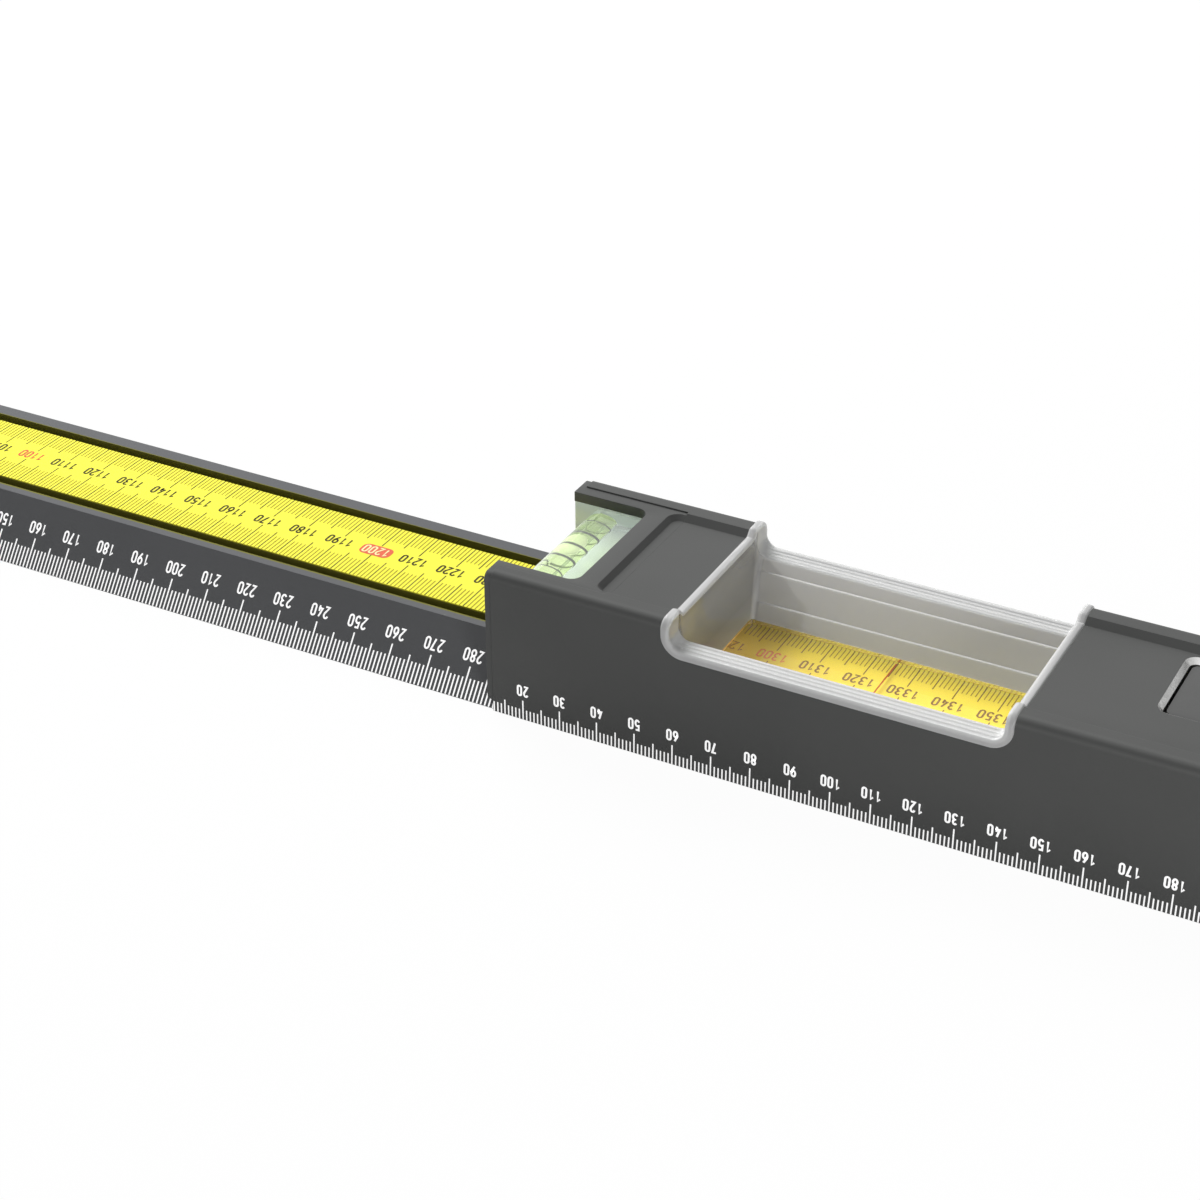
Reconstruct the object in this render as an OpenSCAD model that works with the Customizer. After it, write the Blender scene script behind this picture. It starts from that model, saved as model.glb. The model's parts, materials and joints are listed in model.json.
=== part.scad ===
// Telescopic door frame level lying on its base, scale face towards -Y.
// X is the reading of the scale on the scale face, shifted at the end so that
// the origin is the middle of the base. All sizes are millimetres.

/* [Outer profile] */
// Length of the outer profile with both end pieces
body_l = 1040; // [900:5:1300]
// Reading of the scale at the left end of the outer profile
body_x0 = 10; // [0:1:20]
// Width of the outer profile, from scale face to back
body_w = 52.8; // [51:0.1:58]
// Height of the outer profile
body_h = 38.5; // [37:0.1:43]
// Thickness of the two side walls
wall_t = 1.7; // [1.4:0.1:1.9]
// Thickness of the top wall
top_t = 2.0; // [1.6:0.1:2.4]
// Thickness of the inner floor and of the sloping web
web_t = 1.6; // [1.2:0.1:2]
// Radius of the two long top edges
edge_r = 2.2; // [1.2:0.1:3]
// Width of each raised rim on top
rim_w = 5.5; // [4.6:0.1:6.5]
// Depth of the trough between the rims
trough_d = 1.6; // [1:0.1:2]
// Width of the scale edge at the bottom of the scale face
scale_edge = 0.4; // [0.3:0.05:0.6]

/* [Inner rail] */
// Length of the rail profile
rail_l = 1041; // [860:1:1041]
// Height of the rail
rail_h = 14.6; // [13.6:0.1:15.4]
// Distance from the scale face to the rail's top edge
rail_top_y = 12.0; // [11.4:0.1:12.6]
// Wall thickness of the rail
rail_t = 1.8; // [1.4:0.1:2.2]
// Width of the land beside the front groove
rail_land = 2.7; // [2.2:0.1:3.2]
// Width of the mouth of each groove
groove_w = 3.0; // [2.6:0.1:3.4]
// Width of the bed of the measuring tape
tape_bed_w = 25.8; // [24.5:0.1:26.4]
// Thickness of the measuring tape
tape_t = 0.3; // [0.2:0.05:0.5]
// How far the tip of the rail stands out of the outer profile
reach = 320.4; // [60:0.2:700]
// Running gap between the rail and the outer profile
rail_gap = 0.4; // [0.3:0.05:0.5]

/* [Window] */
// Distance from the left end to the middle of the window
window_at = 89.1; // [84:0.1:96]
// Length of the window over its flange
window_l = 84.8; // [78:0.2:92]
// Height of the window's sill over the base
sill_z = 31.8; // [30.6:0.1:33]
// Width of the flange round the window
flange_w = 2.1; // [1.8:0.1:2.6]
// Height of the flange over the metal
flange_t = 0.6; // [0.4:0.05:0.9]
// Corner radius of the flange on the sides
flange_r = 5.5; // [4.5:0.1:6.5]
// Thickness of the clear floor
pane_t = 3.0; // [2:0.1:3.6]
// Width of the reading line
line_w = 0.35; // [0.2:0.05:0.6]

/* [Cross vial] */
// Length of the vial housing along the profile
housing_l = 29.8; // [28.5:0.1:34]
// Length of the open notch over the vial
notch_l = 21; // [19:0.1:23]
// Width of the notch
notch_w = 37.6; // [34:0.1:38]
// Radius of the vial's clear barrel
vial_r = 4.4; // [3.8:0.1:4.8]
// Radius of the liquid in a vial
liquid_r = 3.5; // [2.8:0.1:3.6]
// Half distance between the outer rings of a vial
ring_gap = 6.05; // [5:0.05:7]
// Thickness of the end lip of the vial housing
lip_t = 1.7; // [1.2:0.1:2.2]

/* [Main vial] */
// Distance from the left end to the middle of the main vial
main_vial_at = 520; // [380:5:620]
// Length of the main vial block
main_vial_l = 46; // [40:1:56]
// Width of the main vial block
main_vial_w = 18; // [16:0.5:20]

/* [Brake] */
// Distance from the left end to the brake opening
brake_at = 156; // [152:0.5:200]
// Length of the brake opening at its bright edge
brake_l = 44; // [40:1:50]
// Width of the brake opening at its bright edge
brake_w = 25.1; // [24:0.1:27]
// Diameter of the brake's pivot pin
pin_d = 3; // [2.5:0.1:3.5]
// Thickness of the rubber brake pad
pad_t = 1.5; // [1:0.1:2.5]
// Wire diameter of the brake spring
spring_wire = 0.9; // [0.7:0.1:1.2]

/* [Fasteners] */
// Diameter of the screws
screw_d = 2.9; // [2.5:0.1:3.2]
// Length of the screws
screw_l = 12; // [9:0.5:14]

/* [Hidden] */

// Colours
anthracite = [0.27, 0.275, 0.27];
black = [0.13, 0.13, 0.13];
clear = [0.85, 0.93, 0.88, 0.5];
green = [0.78, 0.93, 0.45, 0.8];
yellow = [1.0, 0.93, 0.2];
steel = [0.7, 0.7, 0.72];
white = [0.93, 0.93, 0.9];

// Steps of a rounded edge that is drawn as a polygon
arc_n = 8;
// Overlap of cutting solids with open space
cut = 1;
// Fit of a part that is pushed into its seat
seat = 0.1;
// Free space of a part beside a wall
slack = 0.2;
// Room between the liquid and its bore
film = 0.01;

// Outer profile, derived
body_x1 = body_x0 + body_l;
mid_y = body_w / 2;
// Underside of the inner floor, clear of the rail
web_z = rail_h + 0.6;
chamber_z = web_z + web_t;
trough_z = body_h - trough_d;
roof_z = trough_z - top_t;
rim_roof_z = body_h - top_t;
// Slope of the scale face of the rail, width over height
rail_lip_y = scale_edge + 0.3;
slope = (rail_top_y - rail_lip_y) / rail_h;
// Width over thickness on the slope
slope_k = sqrt(1 + slope * slope);
port_r = screw_d / 2 - 0.15;
port_wall = 1.3;
port_in = port_r + port_wall;
port_y = [wall_t + port_in - 0.4, body_w - wall_t - port_in + 0.4];
port_z = chamber_z + port_in - 0.4;

// Rail, derived
rail_far_y = body_w - wall_t - rail_gap;
groove_y = [rail_top_y + rail_land + groove_w / 2,
            rail_top_y + rail_land + groove_w * 1.5 + tape_bed_w];
tape_y0 = groove_y[0] + groove_w / 2;
tape_y1 = tape_y0 + tape_bed_w;
groove_lip = 2.4;
groove_cavity_w = groove_w + 3;
groove_cavity_h = 2.8;
groove_floor_z = rail_h - groove_lip - groove_cavity_h;
tip_t = 3;
guide_t = 4;
rail_x0 = body_x0 - reach + tip_t;
rail_x1 = rail_x0 + rail_l;
// Hook of the outer profile that hangs in each groove
hook_leg = groove_w / 2;
hook_foot = groove_w + 1.2;
hook_foot_h = 1.5;
hook_foot_z = rail_h - groove_lip - 0.35 - hook_foot_h;

// Window, derived
window_x = body_x0 + window_at;
flange_x0 = window_x - window_l / 2;
flange_x1 = window_x + window_l / 2;
// The metal's edge lies under the flange
flange_lap = 1.3;
notch_metal_r = flange_r - flange_lap;
flange_z0 = sill_z - flange_w;
pane_z0 = web_z + slack;
pane_z1 = pane_z0 + pane_t;
// Width of the sills and run of the sloping walls of the tray
sill_w = 5.2;
tray_run = 6.8;
tray_draft = 2.2;
tray_wall = 1.2;
ledge = 0.35;
ledge_z = [pane_z1 + 4, sill_z - 3];

// Cross vial, derived
notch_y0 = mid_y - notch_w / 2 - 0.4;
notch_y1 = notch_y0 + notch_w;
notch_r = 3;
housing_z = body_h - 0.35;
housing_x1 = body_x0 + housing_l;
housing_cut_y = 4.7;
profile_x0 = body_x0 + lip_t;
lip_foot_z = 3;
lip_inset = 0.3;
plate_t = 2.65;
block_z1 = housing_z - plate_t;
vial_z = block_z1 - vial_r;
vial_x = body_x0 + 9;
block_l = 22.7;
block_h = 13;
block_z0 = block_z1 - block_h;
cheek_t = 1.7;
block_x0 = body_x0 + 0.2;
block_y0 = notch_y0 - cheek_t;
block_y1 = notch_y1 + cheek_t;
vial_mid_y = mid_y;
vial_half = (notch_y1 - notch_y0) / 2 - 3.5;
ring_w = 0.55;
ring_t = 0.2;
backing_t = 0.8;
pocket_x = body_x0 + 25.7;
pocket_r = 3.4;

// Main vial, derived
main_x = body_x0 + main_vial_at;
main_half = main_vial_l / 2;
main_open_l = main_vial_l + 5;
main_open_w = main_vial_w + 5;
bevel = 1.2;
main_top_z = trough_z - bevel;
main_base_z = main_top_z - 13;
main_vial_z = main_top_z - vial_r - 1.2;
main_liquid_half = main_half - 6;
cradle_wall = 1.2;

// Brake, derived
brake_x0 = body_x0 + brake_at;
brake_x1 = brake_x0 + brake_l;
brake_y1 = body_w - 8.1;
brake_y0 = brake_y1 - brake_w;
brake_hole_x0 = brake_x0 + bevel;
brake_hole_x1 = brake_x1 - bevel;
brake_hole_y0 = brake_y0 + bevel;
brake_hole_y1 = brake_y1 - bevel;
lever_gap = 0.45;
lever_top_z = trough_z - bevel;
lever_t = 3;
lever_z0 = lever_top_z - lever_t;
pivot_x = (brake_x0 + brake_x1) / 2;
pivot_z = lever_z0 - 2.6;
pin_gap = 0.05;
hub_r = pin_d / 2 + 2;
ear_t = 2.4;
ear_gap = 0.3;
foot_l = 8;
foot_x0 = brake_hole_x0 + lever_gap + 1;
foot_y1 = rail_far_y - 0.4;
foot_y0 = groove_y[1] + groove_w / 2 + 0.4;
ear_y0 = [brake_y0 - 1.5, port_y[1] - port_in - slack - ear_t];
hub_y0 = ear_y0[0] + ear_t + ear_gap;
hub_y1 = ear_y0[1] - ear_gap;
bearing_base_t = 1.5;
bearing_l = 12;
spring_x = brake_hole_x1 - 7;
spring_y = (brake_y0 + brake_y1) / 2;
spring_r = 3.4;
spring_z0 = chamber_z + bearing_base_t;
spring_z1 = lever_z0;
spring_turns = 6;

mid_x = (rail_x0 - tip_t + body_x1) / 2;

// Points of an arc round [y, z]
function arc_pts(y, z, r, a0, a1) =
    [for (i = [0 : arc_n]) let (a = a0 + (a1 - a0) * i / arc_n) [y + r * cos(a), z + r * sin(a)]];

// Front half of the outer contour, grown by o, from the base to the trough
function half_contour(o, z0) = concat(
    [[-o, z0]],
    arc_pts(edge_r, body_h - edge_r, edge_r + o, 180, 90),
    [[rim_w + o * tan(22.5), body_h + o],
     [rim_w + trough_d + o * tan(22.5), trough_z + o]]);

// The same half seen from the back
function mirrored(pts) =
    [for (i = [len(pts) - 1 : -1 : 0]) [body_w - pts[i][0], pts[i][1]]];

// Y of the rail's sloping face, moved by d away from the scale face
function slope_y(z, d) = rail_lip_y + d + slope * z;

// Extrude a drawing in Y and Z along X
module along_x(x0, x1) {
    translate([x0, 0, 0]) rotate([90, 0, 90]) linear_extrude(x1 - x0) children();
}

// Extrude a drawing in X and Z from y0 to y1
module along_y(y0, y1) {
    translate([0, y1, 0]) rotate([90, 0, 0]) linear_extrude(y1 - y0) children();
}

// Box between two corners
module span(a, b) {
    translate(a) cube(b - a);
}

// Round rod along X
module rod_x(x0, x1, y, z, r) {
    translate([x0, y, z]) rotate([0, 90, 0]) cylinder(h = x1 - x0, r = r, $fn = 48);
}

// Round rod along Y
module rod_y(y0, y1, x, z, r) {
    translate([x, y0, z]) rotate([-90, 0, 0]) cylinder(h = y1 - y0, r = r, $fn = 48);
}

// Rectangle with round corners, drawn between two corners
module round_rect(a, b, r) {
    polygon(concat(
        arc_pts(a[0] + r, a[1] + r, r, 180, 270),
        arc_pts(b[0] - r, a[1] + r, r, 270, 360),
        arc_pts(b[0] - r, b[1] - r, r, 0, 90),
        arc_pts(a[0] + r, b[1] - r, r, 90, 180)));
}

// Thin slice of a rounded plate, a corner of the sloping solids below
module slice(x0, x1, y0, y1, z, r) {
    translate([0, 0, z]) linear_extrude(0.01) round_rect([x0, y0], [x1, y1], r);
}

// Opening in the top wall with a bevelled edge
module bevelled_opening(x0, x1, y0, y1, r) {
    hull() {
        slice(x0 + bevel, x1 - bevel, y0 + bevel, y1 - bevel, trough_z - bevel, r - bevel);
        slice(x0, x1, y0, y1, trough_z, r);
    }
    translate([0, 0, roof_z - cut])
        linear_extrude(top_t + cut)
            round_rect([x0 + bevel, y0 + bevel], [x1 - bevel, y1 - bevel], r - bevel);
    translate([0, 0, trough_z])
        linear_extrude(trough_d + cut) round_rect([x0, y0], [x1, y1], r);
}

// Filled outer contour, grown by o
module contour(o, z0) {
    polygon(concat(half_contour(o, z0), mirrored(half_contour(o, z0))));
}

// Section of the outer profile without its hooks and screw ports
module body_section() {
    web_y = scale_edge - web_t * slope_k;
    difference() {
        contour(0, 0);
        // Closed chamber above the inner floor
        polygon([
            [wall_t, chamber_z], [wall_t, rim_roof_z], [rim_w - top_t * tan(22.5), rim_roof_z],
            [rim_w + trough_d - top_t * tan(22.5), roof_z],
            [body_w - rim_w - trough_d + top_t * tan(22.5), roof_z],
            [body_w - rim_w + top_t * tan(22.5), rim_roof_z], [body_w - wall_t, rim_roof_z],
            [body_w - wall_t, chamber_z]]);
        // Channel of the rail, open at the base
        polygon([
            [scale_edge - slope * cut, -cut], [scale_edge + slope * web_z, web_z],
            [body_w - wall_t, web_z], [body_w - wall_t, -cut]]);
        // Hollow between the scale face and the sloping web
        polygon([
            [wall_t, (wall_t - web_y) / slope], [web_y + slope * web_z, web_z], [wall_t, web_z]]);
    }
}

// Section of a hook that hangs in a groove of the rail, about the groove's middle
module hook_section() {
    polygon([
        [-hook_leg / 2, chamber_z - 0.5], [-hook_leg / 2, hook_foot_z + hook_foot_h],
        [-hook_foot / 2, hook_foot_z + hook_foot_h], [-hook_foot / 2, hook_foot_z],
        [hook_foot / 2, hook_foot_z], [hook_foot / 2, hook_foot_z + hook_foot_h],
        [hook_leg / 2, hook_foot_z + hook_foot_h], [hook_leg / 2, chamber_z - 0.5]]);
}

// Notch of the window in the side view, moved in by d
module window_notch(d) {
    polygon(concat(
        arc_pts(flange_x0 + flange_r, flange_z0 + flange_r, flange_r - d, 180, 270),
        arc_pts(flange_x1 - flange_r, flange_z0 + flange_r, flange_r - d, 270, 360),
        [[flange_x1 - d, body_h + 2 * cut], [flange_x0 + d, body_h + 2 * cut]]));
}

// Outer profile of coated aluminium with its openings
module body_profile() {
    color(anthracite) difference() {
        union() {
            along_x(profile_x0, body_x1 - lip_t) body_section();
            for (y = groove_y) along_x(profile_x0, body_x1 - lip_t) translate([y, 0]) hook_section();
            for (y = port_y) rod_x(profile_x0, body_x1 - lip_t, y, port_z, port_in);
        }
        for (y = port_y) rod_x(profile_x0 - cut, body_x1 + cut, y, port_z, port_r);
        // Seat of the vial housing
        span([profile_x0 - cut, housing_cut_y, roof_z - cut],
             [housing_x1 + seat, body_w - housing_cut_y, body_h + cut]);
        // Window
        along_y(-cut, body_w + cut) window_notch(flange_lap);
        span([flange_x0 + flange_lap, tape_y0 - groove_w - 4, web_z - rail_h],
             [flange_x1 - flange_lap, tape_y1 + 0.6, chamber_z + 0.01]);
        // Openings of the brake and of the main vial
        bevelled_opening(brake_x0, brake_x1, brake_y0, brake_y1, notch_r);
        bevelled_opening(main_x - main_open_l / 2, main_x + main_open_l / 2,
                         mid_y - main_open_w / 2, mid_y + main_open_w / 2, notch_r);
        // Slot of the brake foot
        span([foot_x0 - 1.5, port_y[1] - port_in - 0.1, web_z - cut],
             [foot_x0 + foot_l + 1.5, body_w - wall_t, port_z + port_in + slack]);
    }
}

// Outline of the end lip: the body's contour without the knife edge of the scale
module lip_section() {
    difference() {
        contour(-lip_inset, 0);
        polygon([
            [scale_edge - slope * cut, -cut], [scale_edge + slope * web_z, web_z],
            [body_w - wall_t, web_z], [body_w - wall_t, -cut]]);
        translate([-cut, -cut]) square([lip_foot_z * slope + 2 * cut, lip_foot_z + cut]);
    }
}

// Housing of the cross vial at the left end, with a lip over the end of the profile
module vial_housing() {
    color(anthracite * 0.9) difference() {
        union() {
            along_x(body_x0, profile_x0) lip_section();
            span([body_x0, housing_cut_y + seat, roof_z - cut],
                 [housing_x1, body_w - housing_cut_y - seat, housing_z]);
            span([profile_x0, wall_t + slack, chamber_z + slack],
                 [housing_x1, body_w - wall_t - slack, roof_z - slack]);
        }
        // Rim of the lip stays under the profile's edge
        span([body_x0 - cut, -cut, housing_z], [profile_x0, body_w + cut, body_h + cut]);
        // Notch over the vial and its opening at the end
        translate([0, 0, block_z1 - cut]) linear_extrude(plate_t + 2 * cut)
            round_rect([body_x0 - 3 * notch_r, notch_y0], [body_x0 + notch_l, notch_y1], notch_r);
        // Seat of the vial block and of its backing, open at the end
        span([body_x0 - cut, block_y0 - seat, block_z0],
             [block_x0 + block_l + seat, block_y1 + seat, block_z1 + 0.01]);
        span([profile_x0, block_y0 - seat, block_z0 - backing_t - 0.02],
             [block_x0 + block_l + seat, block_y1 + seat, block_z0 + 0.01]);
        // Sloping pocket that runs out into the trough
        hull() {
            slice(pocket_x + trough_d, housing_x1 + 3 * pocket_r, rim_w + trough_d,
                  body_w - rim_w - trough_d, trough_z, pocket_r - trough_d);
            slice(pocket_x, housing_x1 + 3 * pocket_r, rim_w, body_w - rim_w, body_h, pocket_r);
        }
        // Screw ports and the countersunk holes of the lip
        for (y = port_y) {
            rod_x(profile_x0, housing_x1 + cut, y, port_z, port_in + slack);
            rod_x(body_x0 - cut, profile_x0 + cut, y, port_z, screw_d / 2 + 0.15);
            countersink(body_x0, y, 1);
        }
        // Hollow behind the vial
        span([block_x0 + block_l + 2, wall_t + 2.2, chamber_z + slack - cut],
             [housing_x1 - 2, body_w - wall_t - 2.2, roof_z - 2]);
    }
}

// Countersink in an end plate whose outer face is at x
module countersink(x, y, dir) {
    head_r = screw_d;
    translate([x, y, port_z]) rotate([0, 90 * dir, 0])
        translate([0, 0, -0.01]) cylinder(h = head_r - screw_d / 2 + 0.15, r1 = head_r + 0.1,
                                          r2 = screw_d / 2 + 0.1, $fn = 48);
}

// White backing under the vial block
module vial_backing() {
    color(white) span([profile_x0 + seat, block_y0, block_z0 - backing_t],
                      [block_x0 + block_l, block_y1, block_z0]);
}

// Bore of a vial: a barrel with rounded ends
module vial_barrel(half, r) {
    rotate_extrude($fn = 48) polygon(concat(
        [[0, -half]], arc_pts(r - 1, -half + 1, 1, 270, 360),
        arc_pts(r - 1, half - 1, 1, 0, 90), [[0, half]]));
}

// Place a vial's parts with the axis along Y
module on_cross_axis() {
    translate([vial_x, vial_mid_y, vial_z]) rotate([-90, 0, 0]) children();
}

// Place a vial's parts with the axis along X
module on_main_axis() {
    translate([main_x, mid_y, main_vial_z]) rotate([0, 90, 0]) children();
}

// Ring printed round a vial's liquid
module ring(at, r) {
    translate([0, 0, at - ring_w / 2]) difference() {
        cylinder(h = ring_w, r = r + ring_t, $fn = 48);
        translate([0, 0, -cut]) cylinder(h = ring_w + 2 * cut, r = r, $fn = 48);
    }
}

// Room of the rings in the clear block
module ring_rooms(places, r) {
    for (z = places) translate([0, 0, z - ring_w / 2]) cylinder(h = ring_w, r = r + ring_t, $fn = 48);
}

cross_ring_places = [-2 * ring_gap, -ring_gap, 0, ring_gap, 2 * ring_gap];
main_ring_places = [-2 * ring_gap, -ring_gap, ring_gap, 2 * ring_gap];

// Clear block of the cross vial: two cheeks, a slab and the round barrel
module cross_vial_block() {
    color(clear) difference() {
        union() {
            for (y = [block_y0, block_y1 - cheek_t])
                span([block_x0, y, block_z0], [block_x0 + block_l, y + cheek_t, block_z1]);
            span([vial_x, block_y0, block_z0], [block_x0 + block_l, block_y1, block_z1]);
            rod_y(block_y0, block_y1, vial_x, vial_z, vial_r);
        }
        on_cross_axis() {
            vial_barrel(vial_half, liquid_r);
            ring_rooms(cross_ring_places, liquid_r);
        }
    }
}

// Room of the air bubble under the top of the barrel
module bubble(half, r) {
    translate([0, -r * 1.25, 0]) vial_barrel(half, r * 1.1);
}

module cross_vial_liquid() {
    color(green) difference() {
        on_cross_axis() vial_barrel(vial_half - film, liquid_r - film);
        on_cross_axis() bubble(ring_gap + 0.3, liquid_r);
    }
}

module cross_vial_rings() {
    color(black) on_cross_axis() for (z = cross_ring_places) ring(z, liquid_r);
}

// One level of the inside of the tray, d1 and d0 in from the sill at its top and base
module tray_level(z0, z1, d0, d1, grow) {
    share0 = (sill_z - z0) / (sill_z - pane_z1);
    share1 = (sill_z - z1) / (sill_z - pane_z1);
    inset_x = flange_w - grow;
    inset_y = sill_w - grow;
    hull() for (s = [[share0, z0, d0], [share1, z1, d1]])
        slice(flange_x0 + inset_x + tray_draft * s[0] + s[2], flange_x1 - inset_x - tray_draft * s[0] - s[2],
              inset_y + tray_run * s[0] + s[2], body_w - inset_y - tray_run * s[0] - s[2], s[1], 1.6);
}

// Clear tray of the window: its flange follows the contour of the profile
module window_tray() {
    color(clear) difference() {
        union() {
            // Flange over the metal
            intersection() {
                along_x(flange_x0, flange_x1) difference() {
                    contour(flange_t, 0);
                    contour(0, -cut);
                }
                along_y(-2 * cut, body_w + 2 * cut) window_notch(0);
            }
            // Collar in the notch
            intersection() {
                along_x(flange_x0, flange_x1) contour(0.001, 0);
                along_y(-cut, body_w + cut) window_notch(flange_lap + seat);
            }
            // Basin under the collar
            intersection() {
                tray_level(pane_z0, sill_z, 0, 0, tray_wall);
                span([flange_x0, wall_t + slack, pane_z0],
                     [flange_x1, body_w - wall_t - slack, sill_z]);
            }
        }
        // Opening between the sills and through both sides
        along_y(-3 * cut, body_w + 3 * cut)
            polygon(concat(
                arc_pts(flange_x0 + flange_w + 3, sill_z + 3, 3, 180, 270),
                arc_pts(flange_x1 - flange_w - 3, sill_z + 3, 3, 270, 360),
                [[flange_x1 - flange_w, body_h + 3 * cut], [flange_x0 + flange_w, body_h + 3 * cut]]));
        // Upright walls between the sills
        translate([0, 0, sill_z]) linear_extrude(body_h - sill_z + 3 * cut)
            round_rect([flange_x0 + flange_w, sill_w],
                       [flange_x1 - flange_w, body_w - sill_w], 1.6);
        // Inside with two small ledges
        tray_level(pane_z1, ledge_z[0], 2 * ledge, 2 * ledge, 0);
        tray_level(ledge_z[0] - 0.01, ledge_z[1], ledge, ledge, 0);
        tray_level(ledge_z[1] - 0.01, sill_z + 0.02, 0, 0, 0);
        // Seat of the reading line
        reading_bar(0.01);
    }
    // Ribs along both sills
    color(clear) for (y = [1.1, 2.6, 4.1]) for (yy = [y, body_w - y])
        along_x(flange_x0 + flange_w + 3, flange_x1 - flange_w - 3)
            polygon([[yy - 0.45, sill_z - 0.05], [yy - 0.2, sill_z + 0.3],
                     [yy + 0.2, sill_z + 0.3], [yy + 0.45, sill_z - 0.05]]);
}

// Reading line under the pane, grown by g
module reading_bar(g) {
    span([window_x - line_w / 2 - g, sill_w + tray_run + 0.6, pane_z0 - cut * g / 0.01],
         [window_x + line_w / 2 + g, body_w - sill_w - tray_run - 0.6, pane_z0 + 0.15 + g]);
}

module reading_line() {
    color([0.85, 0.12, 0.1]) reading_bar(0);
}

// Plastic glide strips between the inner floor and the lands of the rail
module glide_strips() {
    color(black) for (y = [[rail_top_y + 0.2, groove_y[0] - groove_w / 2 - 0.2], [foot_y0, foot_y1]])
        span([profile_x0 + 1, y[0], rail_h + 0.12], [profile_x0 + 31, y[1], web_z]);
}

// Plug that fills the chamber, from x0 to x1
module chamber_plug(x0, x1, d) {
    along_x(x0, x1) difference() {
        polygon([
            [wall_t + d, chamber_z + d], [wall_t + d, roof_z - d],
            [body_w - wall_t - d, roof_z - d], [body_w - wall_t - d, chamber_z + d]]);
        for (y = port_y) translate([y, port_z]) circle(r = port_in + d, $fn = 32);
    }
}

// Cap of the right end
module end_cap() {
    color(black) difference() {
        union() {
            along_x(body_x1 - lip_t, body_x1) contour(-lip_inset, lip_foot_z);
            chamber_plug(body_x1 - lip_t - 18, body_x1 - lip_t, slack);
        }
        along_x(body_x1 - lip_t - 20, body_x1 - lip_t - 2)
            polygon([
                [wall_t + 2.4, port_z + port_in + 2], [wall_t + 2.4, roof_z - 2.4],
                [body_w - wall_t - 2.4, roof_z - 2.4], [body_w - wall_t - 2.4, port_z + port_in + 2]]);
        for (y = port_y) {
            rod_x(body_x1 - lip_t - cut, body_x1 + cut, y, port_z, screw_d / 2 + 0.15);
            countersink(body_x1, y, -1);
        }
    }
}

// Countersunk screw with a cross recess, head at the origin and thread towards +Z
module screw() {
    head_h = screw_d / 2;
    difference() {
        union() {
            cylinder(h = head_h, r1 = screw_d, r2 = screw_d / 2, $fn = 48);
            cylinder(h = lip_t - 0.1, r = screw_d / 2, $fn = 48);
            cylinder(h = screw_l, r = port_r - 0.02, $fn = 48);
        }
        for (a = [0, 90]) rotate([0, 0, a])
            translate([-screw_d * 0.65, -0.3, -cut]) cube([screw_d * 1.3, 0.6, cut + 1]);
    }
}

module housing_screws() {
    color(steel) for (y = port_y) translate([body_x0 + 0.05, y, port_z]) rotate([0, 90, 0]) screw();
}

module end_cap_screws() {
    color(steel) for (y = port_y) translate([body_x1 - 0.05, y, port_z]) rotate([0, -90, 0]) screw();
}

// Main vial: cradle, block, liquid and rings
module main_vial_cradle() {
    color(white) difference() {
        span([main_x - main_half - cradle_wall, mid_y - main_vial_w / 2 - cradle_wall, chamber_z],
             [main_x + main_half + cradle_wall, mid_y + main_vial_w / 2 + cradle_wall, roof_z - slack]);
        span([main_x - main_half - seat, mid_y - main_vial_w / 2 - seat, main_base_z],
             [main_x + main_half + seat, mid_y + main_vial_w / 2 + seat, main_top_z + cut]);
        span([main_x - main_half + 3, mid_y - main_vial_w / 2 + 3, chamber_z - cut],
             [main_x + main_half - 3, mid_y + main_vial_w / 2 - 3, main_base_z - 1.5]);
    }
}

module main_vial_block() {
    color(clear) difference() {
        span([main_x - main_half, mid_y - main_vial_w / 2, main_base_z],
             [main_x + main_half, mid_y + main_vial_w / 2, main_top_z]);
        on_main_axis() {
            vial_barrel(main_liquid_half, liquid_r);
            ring_rooms(main_ring_places, liquid_r);
        }
    }
}

module main_vial_liquid() {
    color(green) difference() {
        on_main_axis() vial_barrel(main_liquid_half - film, liquid_r - film);
        on_main_axis() rotate([0, 0, -90]) bubble(ring_gap + 0.3, liquid_r);
    }
}

module main_vial_rings() {
    color(black) on_main_axis() for (z = main_ring_places) ring(z, liquid_r);
}

// Bearing of the brake lever: a base and two ears with the pin's holes
module brake_bearing() {
    color(black) difference() {
        union() {
            span([pivot_x - bearing_l / 2, ear_y0[0], chamber_z],
                 [spring_x + spring_r + 2, ear_y0[1] + ear_t, chamber_z + bearing_base_t]);
            for (y = ear_y0) {
                span([pivot_x - bearing_l / 2, y, chamber_z], [pivot_x + bearing_l / 2, y + ear_t, pivot_z]);
                rod_y(y, y + ear_t, pivot_x, pivot_z, hub_r);
            }
        }
        rod_y(ear_y0[0] - cut, ear_y0[1] + ear_t + cut, pivot_x, pivot_z, pin_d / 2);
    }
}

module brake_pin() {
    color(steel) rod_y(ear_y0[0] - 0.5, ear_y0[1] + ear_t + 0.2, pivot_x, pivot_z, pin_d / 2 - 0.01);
}

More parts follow.
